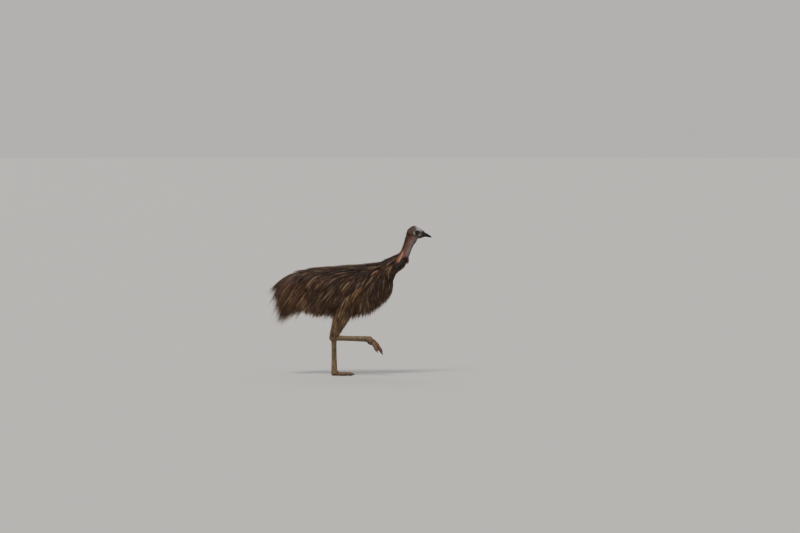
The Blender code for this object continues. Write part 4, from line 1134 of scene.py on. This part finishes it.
def leg_relief(side, points):
    """Heights of a lower leg's plates, how far each point lies on a plate and in a gap, and on a toe."""
    _, hock, ankle = (np.array(point, float) for point in LEGS[side])
    height, plate, gap, on_toe = (np.zeros(len(points)) for _ in range(4))
    nearest = np.full(len(points), np.inf)
    up = np.array((0.0, 0.0, 1.0))
    ahead = np.array((1.0, 0.0, 0.0)) if side == "left" else up
    rows = [(np.linspace(hock, ankle, 60), ahead, TARSUS_SCUTE, 0.0012, 0.02, 0.0)]
    rows += [(toe_line(side, toe, 40)[0], up, TOE_SCUTE, 0.0009, 0.024, 1.0) for toe in TOES]
    for path, front, period, rise, start, toe in rows:
        reach, travelled, facing = beside(points, path, front)
        phase = (travelled / period + 0.10 * mottle(points, 0.03, 61)) % 1.0
        on_plate = ramp(facing, 0.30, 0.62) * ramp(travelled, start, start + 0.012)
        shape = ramp(phase, 0.0, 0.22) * (1 - ramp(phase, 0.86, 1.0)) * (0.45 + 0.55 * phase)
        groove = on_plate * (1 - ramp(phase, 0.0, 0.16) * (1 - ramp(phase, 0.90, 1.0)))
        mine = reach < nearest
        for values, new in (
            (nearest, reach),
            (height, rise * (shape - 0.35) * on_plate),
            (plate, on_plate),
            (gap, groove),
            (on_toe, np.full(len(points), toe) * ramp(travelled, 0.0, 0.03)),
        ):
            values[mine] = new[mine]
    return height + 0.0004 * mottle(points, 0.010, 62), plate, gap, on_toe


def make_leg(side, material):
    """Hock, shin, foot pad and toes under one scaled skin."""
    _, hock, ankle = (Vector(point) for point in LEGS[side])
    knob = bmesh.new()
    bmesh.ops.create_uvsphere(knob, u_segments=32, v_segments=20, radius=1.0)
    bmesh.ops.scale(knob, verts=knob.verts, vec=(HOCK_RADIUS[0], HOCK_RADIUS[1], HOCK_RADIUS[0]))
    bmesh.ops.translate(knob, verts=knob.verts, vec=hock)
    shares = np.linspace(0, 1, 40)
    sizes = [(width, depth) for depth, width in smooth(TARSUS_SIZES, shares)]
    shin = lofted(*rounded([hock.lerp(ankle, share) for share in shares], sizes), (0, -1, 0), 32)
    forms = [knob, shin, pad_form(side)]
    forms += [lofted(*rounded(*toe_line(side, toe, 24)), (0, 1, 0), 24) for toe in TOES]
    leg = fused(f"leg_skin_{side}", forms, LEG_GRID, 5)
    height, plate, gap, on_toe = leg_relief(side, points_of(leg))
    raised(leg, height)
    normals = normals_of(leg)
    if side == "left":
        grounded(leg)
    points = points_of(leg)
    # The side that is painted in shade: down on the standing foot, back and down on the lifted one
    under = np.array((0.0, 0.0, -1.0)) if side == "left" else np.array((-0.76, 0.0, -0.65))
    on_foot = np.maximum(on_toe, ramp(-np.linalg.norm(points - np.array(ankle), axis=1), -0.055, -0.035))
    to_hock = np.linalg.norm(points - np.array(hock), axis=1)
    painted(
        leg,
        blended(
            points,
            LEG_OLIVE,
            (ramp(mottle(points, 0.05, 63), -0.2, 0.8) * 0.5, LEG_DARK),
            (on_foot * 0.45 + on_toe * 0.35, TOE_BROWN),
            (ramp(-to_hock, -0.060, -0.020) * 0.5, TOE_BROWN),
            (gap * 0.8, linear(LEG_DARK) * 0.5),
            # Painted shade: faces of the foot and of the leg that turn that way are darkened as if in shadow
            (ramp(normals @ under, 0.30, 0.80) * on_foot * 0.9, SOLE_SHADE),
            (ramp(normals @ under, 0.20, 0.90) * (1 - on_foot) * 0.4, LEG_DARK),
        ),
    )
    attribute = leg.data.attributes.new("plate", "FLOAT", "POINT")
    attribute.data.foreach_set("value", plate.astype(np.float32))
    toes = [f"toe_{toe[0]}_{side}" for toe in TOES]
    finished(leg, material, "leg_scales", f"tarsus_{side}", f"foot_{side}", *toes)


def make_claws(material):
    """Curved claws with a ridge along them. The inner one is a long dagger."""
    for side in SIDES:
        for toe in TOES:
            name, claw = toe[0], toe[3]
            joints, way = toe_path(side, toe)
            start = joints[-1] - way * CLAW_SUNK
            path, sizes = [], []
            for share in np.linspace(0, 0.985, 34):
                bend = Vector((0, 0, -1)) * claw * CLAW_BEND * share**2
                path.append(start + way * (claw + CLAW_SUNK) * share + bend)
                radius = CLAW_RADIUS * (1 - share) ** 0.75 + 0.0004
                sizes.append((radius * 0.84, radius))
            nail = as_object(f"claw_horn_{name}_{side}", lofted(path, sizes, (0, 1, 0), 24))
            if side == "left":
                grounded(nail)
            painted(nail, horn_colours(points_of(nail), start, path[-1], CLAW_GREY, CLAW_BLACK))
            finished(nail, material, "claw", f"claw_{name}_{side}")


def on_flank(hand, out, ahead):
    """A point this far ahead of the wing's root and this far out from the flesh."""
    _, _, half_width = smooth(TRUNK, WING_ROOT[0] + ahead)
    return Vector((WING_ROOT[0] + ahead, MIDLINE_Y + hand * (half_width + out), WING_ROOT[1] + ahead * 0.85))


def wing_stub(hand):
    """The short wing itself, under the coat."""
    root, wrist = on_flank(hand, -0.012, 0.026), on_flank(hand, 0.006, -0.022)
    shares = np.linspace(0, 1, 8)
    sizes = [(0.011 - 0.004 * share, 0.014 + 0.005 * math.sin(share * 2.4)) for share in shares]
    return lofted(*rounded([root.lerp(wrist, share) for share in shares], sizes), (0, 1, 0), 20)


def quill_form(hand, index):
    """One bare shaft, fanned out from the others, which follows the curve of the flank."""
    fan = (index - (QUILLS - 1) / 2) / (QUILLS - 1)
    length = 1.0 - 0.10 * abs(fan + 0.2)
    path, sizes = [], []
    for share in np.linspace(0, 1, 24):
        x = WING_ROOT[0] - 0.010 + (QUILL_TIP[0] - WING_ROOT[0]) * share * length
        z = WING_ROOT[1] - 0.010 + (QUILL_TIP[1] - WING_ROOT[1]) * share * length
        x += QUILL_FAN * 0.6 * fan * share
        z -= QUILL_FAN * fan * (0.3 + share)
        height, half_height, half_width = smooth(TRUNK, x)
        across = math.sqrt(max(0.70, 1 - ((z - height) / half_height) ** 2)) * half_width
        out = across + QUILL_OUT * (0.18 + 0.82 * min(1.0, share * 2.0)) + 0.002 * index
        path.append((x, MIDLINE_Y + hand * out, z))
        sizes.append((QUILL_RADIUS * (1 - 0.75 * share) + 0.0003,) * 2)
    eased = np.array(path)
    for _ in range(3):
        eased[1:-1] = (eased[:-2] + 2 * eased[1:-1] + eased[2:]) / 4
    return lofted(eased, sizes, (0, 1, 0), 10)


def make_wings(material):
    """The short wings under the coat, and their bare quills, which curve down over the flanks."""
    for side, hand in SIDES.items():
        forms = [wing_stub(hand)] + [quill_form(hand, index) for index in range(QUILLS)]
        wing = as_object(f"wing_quills_{side}", joined(forms))
        points = points_of(wing)
        share = np.clip((WING_ROOT[0] - points[:, 0]) / (WING_ROOT[0] - QUILL_TIP[0]), 0, 1)
        dark = ramp(share, 0.75, 1.0) * 0.7 + (share < 0.2)
        painted(wing, blended(points, QUILL_PALE, (dark, QUILL_DARK)))
        finished(wing, material, "quill", f"wing_{side}")


# Coat


def body_lie(points, share):
    """Which way the coat runs at points, from the slopes, with the tips turned down by their weight."""
    height, half_height, half_width = section(LIE_FORM, points[:, 0])
    aside, rise = np.abs(points[:, 1] - MIDLINE_Y) / half_width, (points[:, 2] - height) / half_height
    side = np.degrees(np.arctan2(aside, rise))
    stations = np.array([station for station, _ in LIE_SLOPES])
    by_station = np.array([np.interp(side, LIE_SIDES, slopes) for _, slopes in LIE_SLOPES])
    x = np.clip(points[:, 0], stations[0], stations[-1] - 1e-6)
    low = np.searchsorted(stations, x, side="right") - 1
    part = (x - stations[low]) / (stations[low + 1] - stations[low])
    column = np.arange(len(points))
    slope = by_station[low, column] * (1 - part) + by_station[low + 1, column] * part
    slope = np.radians(np.minimum(slope + COAT_SAG * share * np.minimum(1.0, side / 40), 86))
    return np.column_stack([-np.cos(slope), np.zeros(len(points)), -np.sin(slope)])


def shank_lie(side):
    """Straight down the drumstick."""
    knee, hock, _ = (np.array(point, float) for point in LEGS[side])
    way = unit(hock - knee)
    return lambda points, share: np.tile(way, (len(points), 1))


def neck_lie(points, share):
    """Down the neck, away from the head."""
    nearest, _ = nearest_on(points, NECK_TUBE)
    return -unit(np.gradient(NECK_TUBE[:, :3], axis=0))[nearest]


def combed(field, lie, roots, lengths, lifts, curls):
    """The middle line of each clump: rooted in the skin, then along the lie, rising to its tip."""
    at = roots.copy()
    _, out = outward(field, at)
    lines, outs = [at - out * ROOT_DEPTH], [out]
    for k in range(1, GUIDE_STEPS + 1):
        share = k / GUIDE_STEPS
        way = lie(at, share)
        way = way + np.cross(way, out) * (curls * share)[:, None]
        free = np.where(out[:, 2] < -0.35, 1.0, 0.10 + 0.25 * share)
        way = way - out * np.maximum(0, (way * out).sum(axis=1) - free)[:, None]
        way = way - out * np.minimum(0, (way * out).sum(axis=1))[:, None]
        at = at + unit(way) * (lengths / GUIDE_STEPS)[:, None]
        distance, out = outward(field, at)
        short = np.maximum(0, lifts * min(1.0, 1.5 * share) - distance)
        at = at + out * short[:, None]
        lines.append(at)
        outs.append(out)
    return np.stack(lines, axis=1), np.stack(outs, axis=1)


def barbs(lines, outs, form, chance):
    """Tapered barbs gathered round each clump's middle line.

    Gives the rings' corners and tips, the clump of each barb, and how high it rides there, from 0 to 1.
    """
    count, spread, pinch, width, stray, shortest = form
    clump = np.repeat(np.arange(len(lines)), count)
    total = len(clump)
    aside = np.clip(chance.normal(0, 0.5, total), -1.1, 1.1) * spread
    ridge = chance.uniform(0, 1, total) * (1 - 0.6 * np.abs(aside) / (1.1 * spread))
    rise = (ridge * 1.35 - 0.35) * spread * 0.45
    reach = chance.uniform(shortest, 1.0, total)
    drift = chance.normal(0, 1, total) * stray
    phase = chance.uniform(0, 2 * math.pi, total)
    swing = chance.uniform(0.2, 1.0, total) * spread * 0.16
    half = width * chance.uniform(0.65, 1.25, total)
    shift = chance.uniform(-1, 1, total) * spread * 0.8
    steps = lines.shape[1] - 1
    tangents = unit(np.gradient(lines, axis=1))
    corners = []
    for ring in range(BARB_RINGS + 1):
        share = ring / BARB_RINGS
        place = np.clip(reach * share * steps, 0, steps - 1e-6)
        low = place.astype(int)
        part = (place - low)[:, None]
        base = lines[clump, low] * (1 - part) + lines[clump, low + 1] * part
        out = unit(outs[clump, low] * (1 - part) + outs[clump, low + 1] * part)
        tangent = unit(tangents[clump, low] * (1 - part) + tangents[clump, low + 1] * part)
        across = unit(np.cross(tangent, out))
        up = np.cross(across, tangent)
        wave = swing * math.sin(math.pi * min(1.0, share * 1.2)) * np.sin(phase + share * 5.0)
        offset = aside * (1 - pinch * share) + wave + drift * share**1.5
        lifted = rise * (0.3 + 0.7 * share) * (share > 0)
        middle = base + across * offset[:, None] + up * lifted[:, None]
        middle += tangents[clump, 0] * shift[:, None]
        if ring == BARB_RINGS:
            corners.append(middle)
            break
        side = across * (half * BARB_TAPER[ring])[:, None]
        thick = up * (half * BARB_TAPER[ring] * 0.55)[:, None]
        corners += [middle - side, middle + side, middle + thick]
    return np.stack(corners, axis=1), clump, ridge


def barb_faces(total):
    """Corner indices of every barb's faces: sides in quads, then three at the tip and one at the root."""
    quads, triangles = [], [(0, 1, 2)]
    for ring in range(BARB_RINGS - 1):
        for k in range(3):
            low, after = ring * 3 + k, ring * 3 + (k + 1) % 3
            quads.append((after, low, low + 3, after + 3))
    tip = BARB_RINGS * 3
    for k in range(3):
        triangles.append(((k + 1) % 3 + tip - 3, k + tip - 3, tip))
    start = (np.arange(total) * (tip + 1))[:, None]
    quads = (start[:, None, :] + np.array(quads)[None, :, :]).reshape(-1, 4)
    triangles = (start[:, None, :] + np.array(triangles)[None, :, :]).reshape(-1, 3)
    return quads, triangles


def unwrapped(roots, part):
    """Where roots lie on an unwrap of the skin: along it and round it, with each part in its own row."""
    aside = roots[:, 1] - MIDLINE_Y
    if part == "neck":
        along, _ = along_neck(roots)
        middle = np.interp(roots[:, 2], NECK_TUBE[:, 2], NECK_TUBE[:, 0])
        around = np.arctan2(aside, roots[:, 0] - middle)
    elif part in SIDES:
        nearest, offset = nearest_on(roots, SHANK_TUBES[part])
        along = nearest / (TUBE_SAMPLES - 1)
        around = np.arctan2(offset[:, 1], offset[:, 0])
    else:
        along = (roots[:, 0] - TRUNK[0][0]) / (TRUNK[-1][0] - TRUNK[0][0])
        around = np.arctan2(aside, roots[:, 2] - smooth(TRUNK, roots[:, 0])[:, 0])
    start, length = UNWRAP_ROWS[part]
    return np.column_stack([start + length * along, 0.5 + UNWRAP_ROUND * around / (2 * math.pi)])


def coat_colours(roots, clump, ridge, clump_roots, shades, chance):
    """A colour for every corner, from its clump's colour and its own, with painted light on barbs that ride
    high in a clump, painted shade on those below them and towards the roots, and paler worn tips.

    shades gives each clump's chance of each colour.
    """
    names = (BARB_BLACK, BARB_BROWN, BARB_RUST, BARB_TAN, BARB_SLATE_AND_SHEEN)
    palette = np.array([linear(name) for name in names])
    weights = shades(clump_roots)
    edges = np.cumsum(weights, axis=1) / weights.sum(axis=1, keepdims=True)
    pick = (chance.uniform(0, 1, len(clump_roots))[:, None] > edges).sum(axis=1)
    own = (chance.uniform(0, 1, len(roots))[:, None] > edges[clump]).sum(axis=1)
    mixed = palette[pick][clump] * 0.66 + palette[own] * 0.34
    # Painted light and shade: barbs that ride high in their clump are made up to four times lighter than the
    # lowest, on top of a random spread of tone
    mixed = mixed * (chance.uniform(0.75, 1.25, len(roots)) * (0.50 + 1.55 * ridge**1.3))[:, None]
    share = np.append(np.repeat(np.arange(BARB_RINGS) / BARB_RINGS, 3), 1.0)
    # Painted shade: each barb darkens towards its root, where it lies under the others; the tan laid on at
    # the tips is wear
    light = 0.40 + 0.75 * share**0.7
    tan = linear(BARB_TAN)
    colours = mixed[:, None, :] * light[None, :, None]
    return colours + (tan - colours) * (0.16 * share**2)[None, :, None]


def make_coat_piece(name, combing, roots, part, shades, material, chance, nodes, form):
    """One piece of the coat: thousands of barbs in one mesh, each with its patch of the unwrap."""
    corners, clump, ridge = barbs(*combing, CLUMP_FORMS[form], chance)
    total, size = len(clump), corners.shape[1]
    quads, triangles = barb_faces(total)
    data = bpy.data.meshes.new(name)
    data.vertices.add(total * size)
    data.vertices.foreach_set("co", corners.ravel())
    indices = np.concatenate([quads.ravel(), triangles.ravel()])
    data.loops.add(len(indices))
    data.loops.foreach_set("vertex_index", indices)
    starts = np.concatenate([np.arange(len(quads)) * 4, len(quads) * 4 + np.arange(len(triangles)) * 3])
    data.polygons.add(len(starts))
    data.polygons.foreach_set("loop_start", starts)
    data.update(calc_edges=True)
    barb_roots = corners[:, :3].mean(axis=1)
    around = np.tile([-0.5, 0.5, 0.0], BARB_RINGS).tolist() + [0.0]
    along = np.repeat(np.arange(BARB_RINGS) / BARB_RINGS - 0.5, 3).tolist() + [0.5]
    patch = np.column_stack([around, along]) * PATCH
    places = (unwrapped(barb_roots, part)[:, None, :] + patch[None, :, :]).reshape(-1, 2)
    layer = data.uv_layers.new(name="OFBake")
    layer.uv.foreach_set("vector", places[indices].ravel())
    coat = bpy.data.objects.new(name, data)
    bpy.context.scene.collection.objects.link(coat)
    painted(coat, coat_colours(barb_roots, clump, ridge, roots, shades, chance).reshape(-1, 3))
    finished(coat, material, "plumage", *nodes)


def read(table, at):
    """The second column of a table, read in straight lines at values of the first."""
    return np.interp(at, *zip(*table))


def spread_evenly(count, seed):
    """Pairs of numbers from 0 to 1, spread evenly but not in rows."""
    chance = np.random.default_rng(seed)
    steps = np.arange(count)[:, None] * np.array([0.7548776662, 0.5698402910])
    return (steps + chance.uniform(0, 1, 2) + chance.normal(0, 0.004, (count, 2))) % 1.0


def on_skin(x, side):
    """Points of the trunk's skin at stations, and at angles from the back in degrees."""
    height, half_height, half_width = section(TRUNK, x)
    angle = np.radians(side)
    return np.column_stack([x, MIDLINE_Y + half_width * np.sin(angle), height + half_height * np.cos(angle)])


def trunk_shades(roots):
    """Chances of black, brown, rust, tan and slate barbs: tan low down and behind, and slate on the back,
    where its massing is painted sky sheen.
    """
    height, half_height, _ = section(TRUNK, roots[:, 0])
    level = (roots[:, 2] - height) / half_height
    behind = ramp(roots[:, 0], 0.05, -0.25)
    breast = ramp(roots[:, 0], 0.18, 0.36)
    patch = mottle(roots, 0.16, 71)
    rust = 0.16 + 0.26 * behind + 0.12 * ramp(patch, 0.1, 0.8)
    tan = 0.16 + 0.24 * ramp(level, 0.3, -0.9) + 0.24 * behind * ramp(level, 0.5, -0.5)
    # Painted sheen: slate grows thick towards the top of the back for the violet-grey sky sheen there; the
    # rest is the coat's own slate
    slate = 0.10 + 0.60 * ramp(level, 0.35, 0.95) + 0.2 * breast
    black = 0.24 + 0.08 * breast + 0.10 * ramp(-patch, 0.1, 0.8)
    return np.column_stack([black, np.full(len(roots), 0.42), rust, tan, slate])


def thigh_shades(roots):
    """Mostly tan and brown."""
    return np.tile([0.08, 0.36, 0.06, 0.62, 0.04], (len(roots), 1))


def neck_shades(roots):
    """Rust and brown on the nape, black in front."""
    _, facing = along_neck(roots)
    front = ramp(facing, -0.05, 0.35)
    nape = 1 - front
    black, brown, slate = 0.16 + 0.9 * front, 0.40 - 0.1 * front, 0.10 + 0.2 * front
    return np.column_stack([black, brown, 0.75 * nape, 0.06 * nape, slate])


def cape_shades(roots):
    """Slate and dark brown on the nape side, tan-brown below it, and black in front."""
    _, facing = along_neck(roots)
    front = ramp(facing, 0.15, 0.55)
    flank = bell(facing + 0.25, 0.35)
    return np.column_stack(
        [0.30 + 0.9 * front, 0.40 - 0.1 * front, 0.12 * (1 - front), 0.08 + 0.30 * flank, 0.45 * (1 - flank)]
    )


def make_trunk_coat(material):
    """Coat of the trunk, in four regions on each side."""
    for region, (name, first, last, count) in enumerate(TRUNK_REGIONS):
        for side, hand in SIDES.items():
            chance = np.random.default_rng(100 + region * 2 + hand)
            even = spread_evenly(count, 200 + region * 2 + hand)
            x, angle = first + (last - first) * even[:, 0], hand * 180 * even[:, 1]
            roots = on_skin(x, angle)
            tubes = [NECK_TUBE, *SHANK_TUBES.values()]
            clear = np.minimum.reduce([off_tube(roots, tube) for tube in tubes]) > 0.003
            roots, x, angle = roots[clear], x[clear], angle[clear]
            lengths = chance.uniform(0.78, 1.12, len(roots))
            lengths *= read(LENGTH_BY_SIDE, np.abs(angle)) * read(LENGTH_BY_STATION, x)
            lifts = chance.uniform(0.004, 0.027, len(roots))
            curls = 0.12 * mottle(roots, 0.12, 75) + chance.normal(0, 0.05, len(roots))
            combing = combed(off_body, body_lie, roots, lengths, lifts, curls)
            piece, nodes = f"coat_{name}_{side}", ["torso"]
            make_coat_piece(piece, combing, roots, "trunk", trunk_shades, material, chance, nodes, "trunk")


def cape_lie(points, share):
    """Down the neck, and over into the lie of the shoulder and the breast."""
    mix = ramp(points[:, 0], 0.36, 0.52)[:, None]
    return unit(neck_lie(points, share) * mix + body_lie(points, share) * (1 - mix))


def make_cape_coat(material):
    """Long barbs rooted on the lower neck, which fill the slope from the nape to the shoulder."""
    for side, hand in SIDES.items():
        chance = np.random.default_rng(600 + hand)
        even = spread_evenly(CLUMPS["cape"], 610 + hand)
        share, turn = 0.06 + 0.37 * even[:, 0], math.pi * even[:, 1]
        roots = on_neck_skin(share, turn * hand)
        clear = (off_trunk(roots) > 0.002) & (off_stripe(roots) > 0.012 + 0.012 * (np.cos(turn) < 0.2))
        roots, share, turn = roots[clear], share[clear], turn[clear]
        nape = (1 - np.cos(turn)) / 2
        lengths = read(CAPE_LENGTH, share) * (0.85 + 0.15 * nape)
        lengths *= chance.uniform(0.8, 1.1, len(share)) * (1.25 - 0.25 * nape)
        lifts = read(CAPE_LIFT, share) * (1.6 - 0.6 * nape)
        lifts *= chance.uniform(0.12, 1.0, len(share))
        curls = chance.normal(0, 0.06, len(share))
        combing = combed(off_body, cape_lie, roots, lengths, lifts, curls)
        piece = f"coat_cape_{side}"
        make_coat_piece(piece, combing, roots, "neck", cape_shades, material, chance, ["torso"], "cape")


def make_tail_coat(material):
    """The long barbs of the rump, which droop behind."""
    for side, hand in SIDES.items():
        chance = np.random.default_rng(300 + hand)
        even = spread_evenly(CLUMPS["tail"], 310 + hand)
        x, angle = -0.302 + 0.120 * even[:, 0], hand * 180 * even[:, 1]
        roots = on_skin(x, angle)
        lengths = read(TAIL_LENGTH, x) * chance.uniform(0.78, 1.05, len(x))
        lengths *= read(TAIL_LENGTH_BY_SIDE, np.abs(angle))
        lifts = chance.uniform(0.0, 1.0, len(x)) * read(TAIL_LIFT_BY_SIDE, np.abs(angle))
        curls = 0.12 * mottle(roots, 0.10, 76) + chance.normal(0, 0.07, len(x))
        combing = combed(off_trunk, body_lie, roots, lengths, lifts, curls)
        piece = f"coat_tail_{side}"
        make_coat_piece(piece, combing, roots, "trunk", trunk_shades, material, chance, ["tail"], "tail")


def make_thigh_coat(material):
    """Shorter, paler barbs down each drumstick."""
    for side, hand in SIDES.items():
        chance = np.random.default_rng(400 + hand)
        even = spread_evenly(CLUMPS["thigh"], 410 + hand)
        share = 0.04 + 0.88 * even[:, 0]
        rings = SHANK_TUBES[side][np.round(share * (TUBE_SAMPLES - 1)).astype(int)]
        turn = 2 * math.pi * even[:, 1]
        roots = rings[:, :3].copy()
        roots[:, 0] += np.cos(turn) * rings[:, 4]
        roots[:, 1] += np.sin(turn) * rings[:, 3]
        lengths = read(THIGH_LENGTH, share) * chance.uniform(0.8, 1.1, len(share))
        lifts = chance.uniform(0.002, 0.015, len(share)) * np.interp(share, (0.6, 0.95), (1.0, 0.25))
        curls = chance.normal(0, 0.06, len(share))
        off_shank = partial(off_tube, tube=SHANK_TUBES[side])
        combing = combed(off_shank, shank_lie(side), roots, lengths, lifts, curls)
        piece, nodes = f"coat_thigh_{side}", [f"shank_{side}"]
        make_coat_piece(piece, combing, roots, side, thigh_shades, material, chance, nodes, "thigh")


def on_neck_skin(share, turn):
    """Points of the neck's skin by share of its length and turn from its front."""
    rings = smooth(np.column_stack([np.linspace(0, 1, len(NECK_TUBE)), NECK_TUBE]), share)
    last = len(NECK_TUBE) - 1
    tangent = unit(np.gradient(NECK_TUBE[:, :3], axis=0))[np.round(share * last).astype(int)]
    front = np.column_stack([tangent[:, 2], np.zeros(len(turn)), -tangent[:, 0]])
    roots = rings[:, :3] + front * (np.cos(turn) * rings[:, 4])[:, None]
    roots[:, 1] += np.sin(turn) * rings[:, 3]
    return roots


def make_neck_coat(material):
    """Short hair-like feathers down the nape, round the lower neck and on the back of the head."""
    chance = np.random.default_rng(500)
    even = spread_evenly(CLUMPS["neck"], 501)
    roots = on_neck_skin(0.22 + 0.78 * even[:, 0], 2 * math.pi * even[:, 1])
    even = spread_evenly(CLUMPS["crown"], 502)
    forward, turn = -0.060 + 0.058 * even[:, 0], math.pi * (even[:, 1] * 1.5 - 0.75)
    top, under, half_width = section(SKULL, forward)
    crown = [
        head_point(ahead, width * math.sin(at), (high + low) / 2 + (high - low) / 2 * math.cos(at))
        for ahead, at, high, low, width in zip(forward, turn, top, under, half_width)
    ]
    roots = np.concatenate([roots, np.array(crown)])
    distance, out = outward(off_head_and_neck, roots)
    roots = roots - out * distance[:, None]
    share, facing = along_neck(roots)
    forward, _, above = in_head(roots)
    bare = ramp(facing, -0.60, 0.10) * ramp(share, 0.42, 0.54) * 1.03
    bare = np.maximum(bare, bell(off_stripe(roots), 0.0110) * 1.3)
    bare = np.maximum(bare, ramp(forward - 0.3 * above, -0.050, -0.008))
    kept = chance.uniform(0, 1, len(roots)) > bare
    roots, share = roots[kept], share[kept]
    lengths = read(NECK_LENGTH, share) * chance.uniform(0.75, 1.15, len(roots))
    lifts = read(NECK_LIFT, share) * chance.uniform(0.4, 1.2, len(roots))
    curls = chance.normal(0, 0.12, len(roots))
    combing = combed(off_head_and_neck, neck_lie, roots, lengths, lifts, curls)
    nodes = ["neck_lower"]
    make_coat_piece("coat_neck", combing, roots, "neck", neck_shades, material, chance, nodes, "neck")


# Studio


def make_floor(material):
    """A plain disc, so wide that its edge lies far behind."""
    floor = bmesh.new()
    bmesh.ops.create_circle(floor, cap_ends=True, segments=96, radius=FLOOR_RADIUS)
    plane = as_object("studio_floor", floor)
    plane.data.materials.append(material)


def make_sun(name, place, strength, softness, colour):
    """A broad even light, as from a large window. It shines from this place to the origin."""
    lamp = bpy.data.lights.new(name, "SUN")
    lamp.energy = strength
    lamp.angle = math.radians(softness)
    lamp.color = linear(colour)
    holder = bpy.data.objects.new(name, lamp)
    holder.rotation_euler = Vector(place).to_track_quat("Z", "Y").to_euler()
    bpy.context.scene.collection.objects.link(holder)


def make_studio():
    make_floor(floor_material())
    for name, settings in LIGHTS.items():
        make_sun(name, *settings)
    world = bpy.data.worlds.new("studio_air")
    world.use_nodes = True
    background = world.node_tree.nodes["Background"]
    background.inputs["Color"].default_value = (*linear(WORLD_PALE), 1.0)
    background.inputs["Strength"].default_value = WORLD_STRENGTH
    bpy.context.scene.world = world


# The photograph's frame: 7.9 mm of the bird to a pixel, its left foot's sole at this pixel
PHOTO_SIZE = (800, 533)
SOLE_PIXEL = (335.0, 376.0)
METRES_PER_PIXEL = 0.0079
LENS_MM = 200.0
SENSOR_MM = 36.0
CAMERA_HEIGHT = 2.4


def make_camera():
    """A long lens far off, at twice the height of the bird's head, which sees its right side."""
    distance = METRES_PER_PIXEL * PHOTO_SIZE[0] * LENS_MM / SENSOR_MM
    x = (PHOTO_SIZE[0] / 2 - SOLE_PIXEL[0]) * METRES_PER_PIXEL
    z = (SOLE_PIXEL[1] - PHOTO_SIZE[1] / 2) * METRES_PER_PIXEL
    data = bpy.data.cameras.new("camera")
    data.lens = LENS_MM
    data.sensor_width = SENSOR_MM
    data.clip_end = 500.0
    camera = bpy.data.objects.new("camera", data)
    camera.location = (x, MIDLINE_Y - distance, CAMERA_HEIGHT)
    camera.rotation_euler = (math.pi / 2 - math.atan2(CAMERA_HEIGHT - z, distance), 0.0, 0.0)
    bpy.context.scene.collection.objects.link(camera)
    bpy.context.scene.camera = camera


def build():
    make_camera()
    make_studio()
    plumage = plumage_material()
    make_skin(bare_skin_material())
    make_bill(horn_material("bill_horn", 0.34, 3.0, 0.25, -HEAD_PITCH, 0.15, 0.08))
    make_casque(horn_material("casque_horn", 0.46, 2.4, 0.6, -HEAD_PITCH, 0.30))
    make_eyes(eye_material())
    make_wattles(wattle_material())
    leg_scales = leg_skin_material()
    for side in SIDES:
        make_leg(side, leg_scales)
    make_claws(horn_material("claw_horn", 0.34, 2.0, 0.3, 0.0, 0.15, 0.2))
    make_wings(horn_material("quill_shaft", 0.36, 2.0, 0.5, 0.0, 0.05))
    for make_coat in (make_trunk_coat, make_cape_coat, make_tail_coat, make_thigh_coat, make_neck_coat):
        make_coat(plumage)


build()
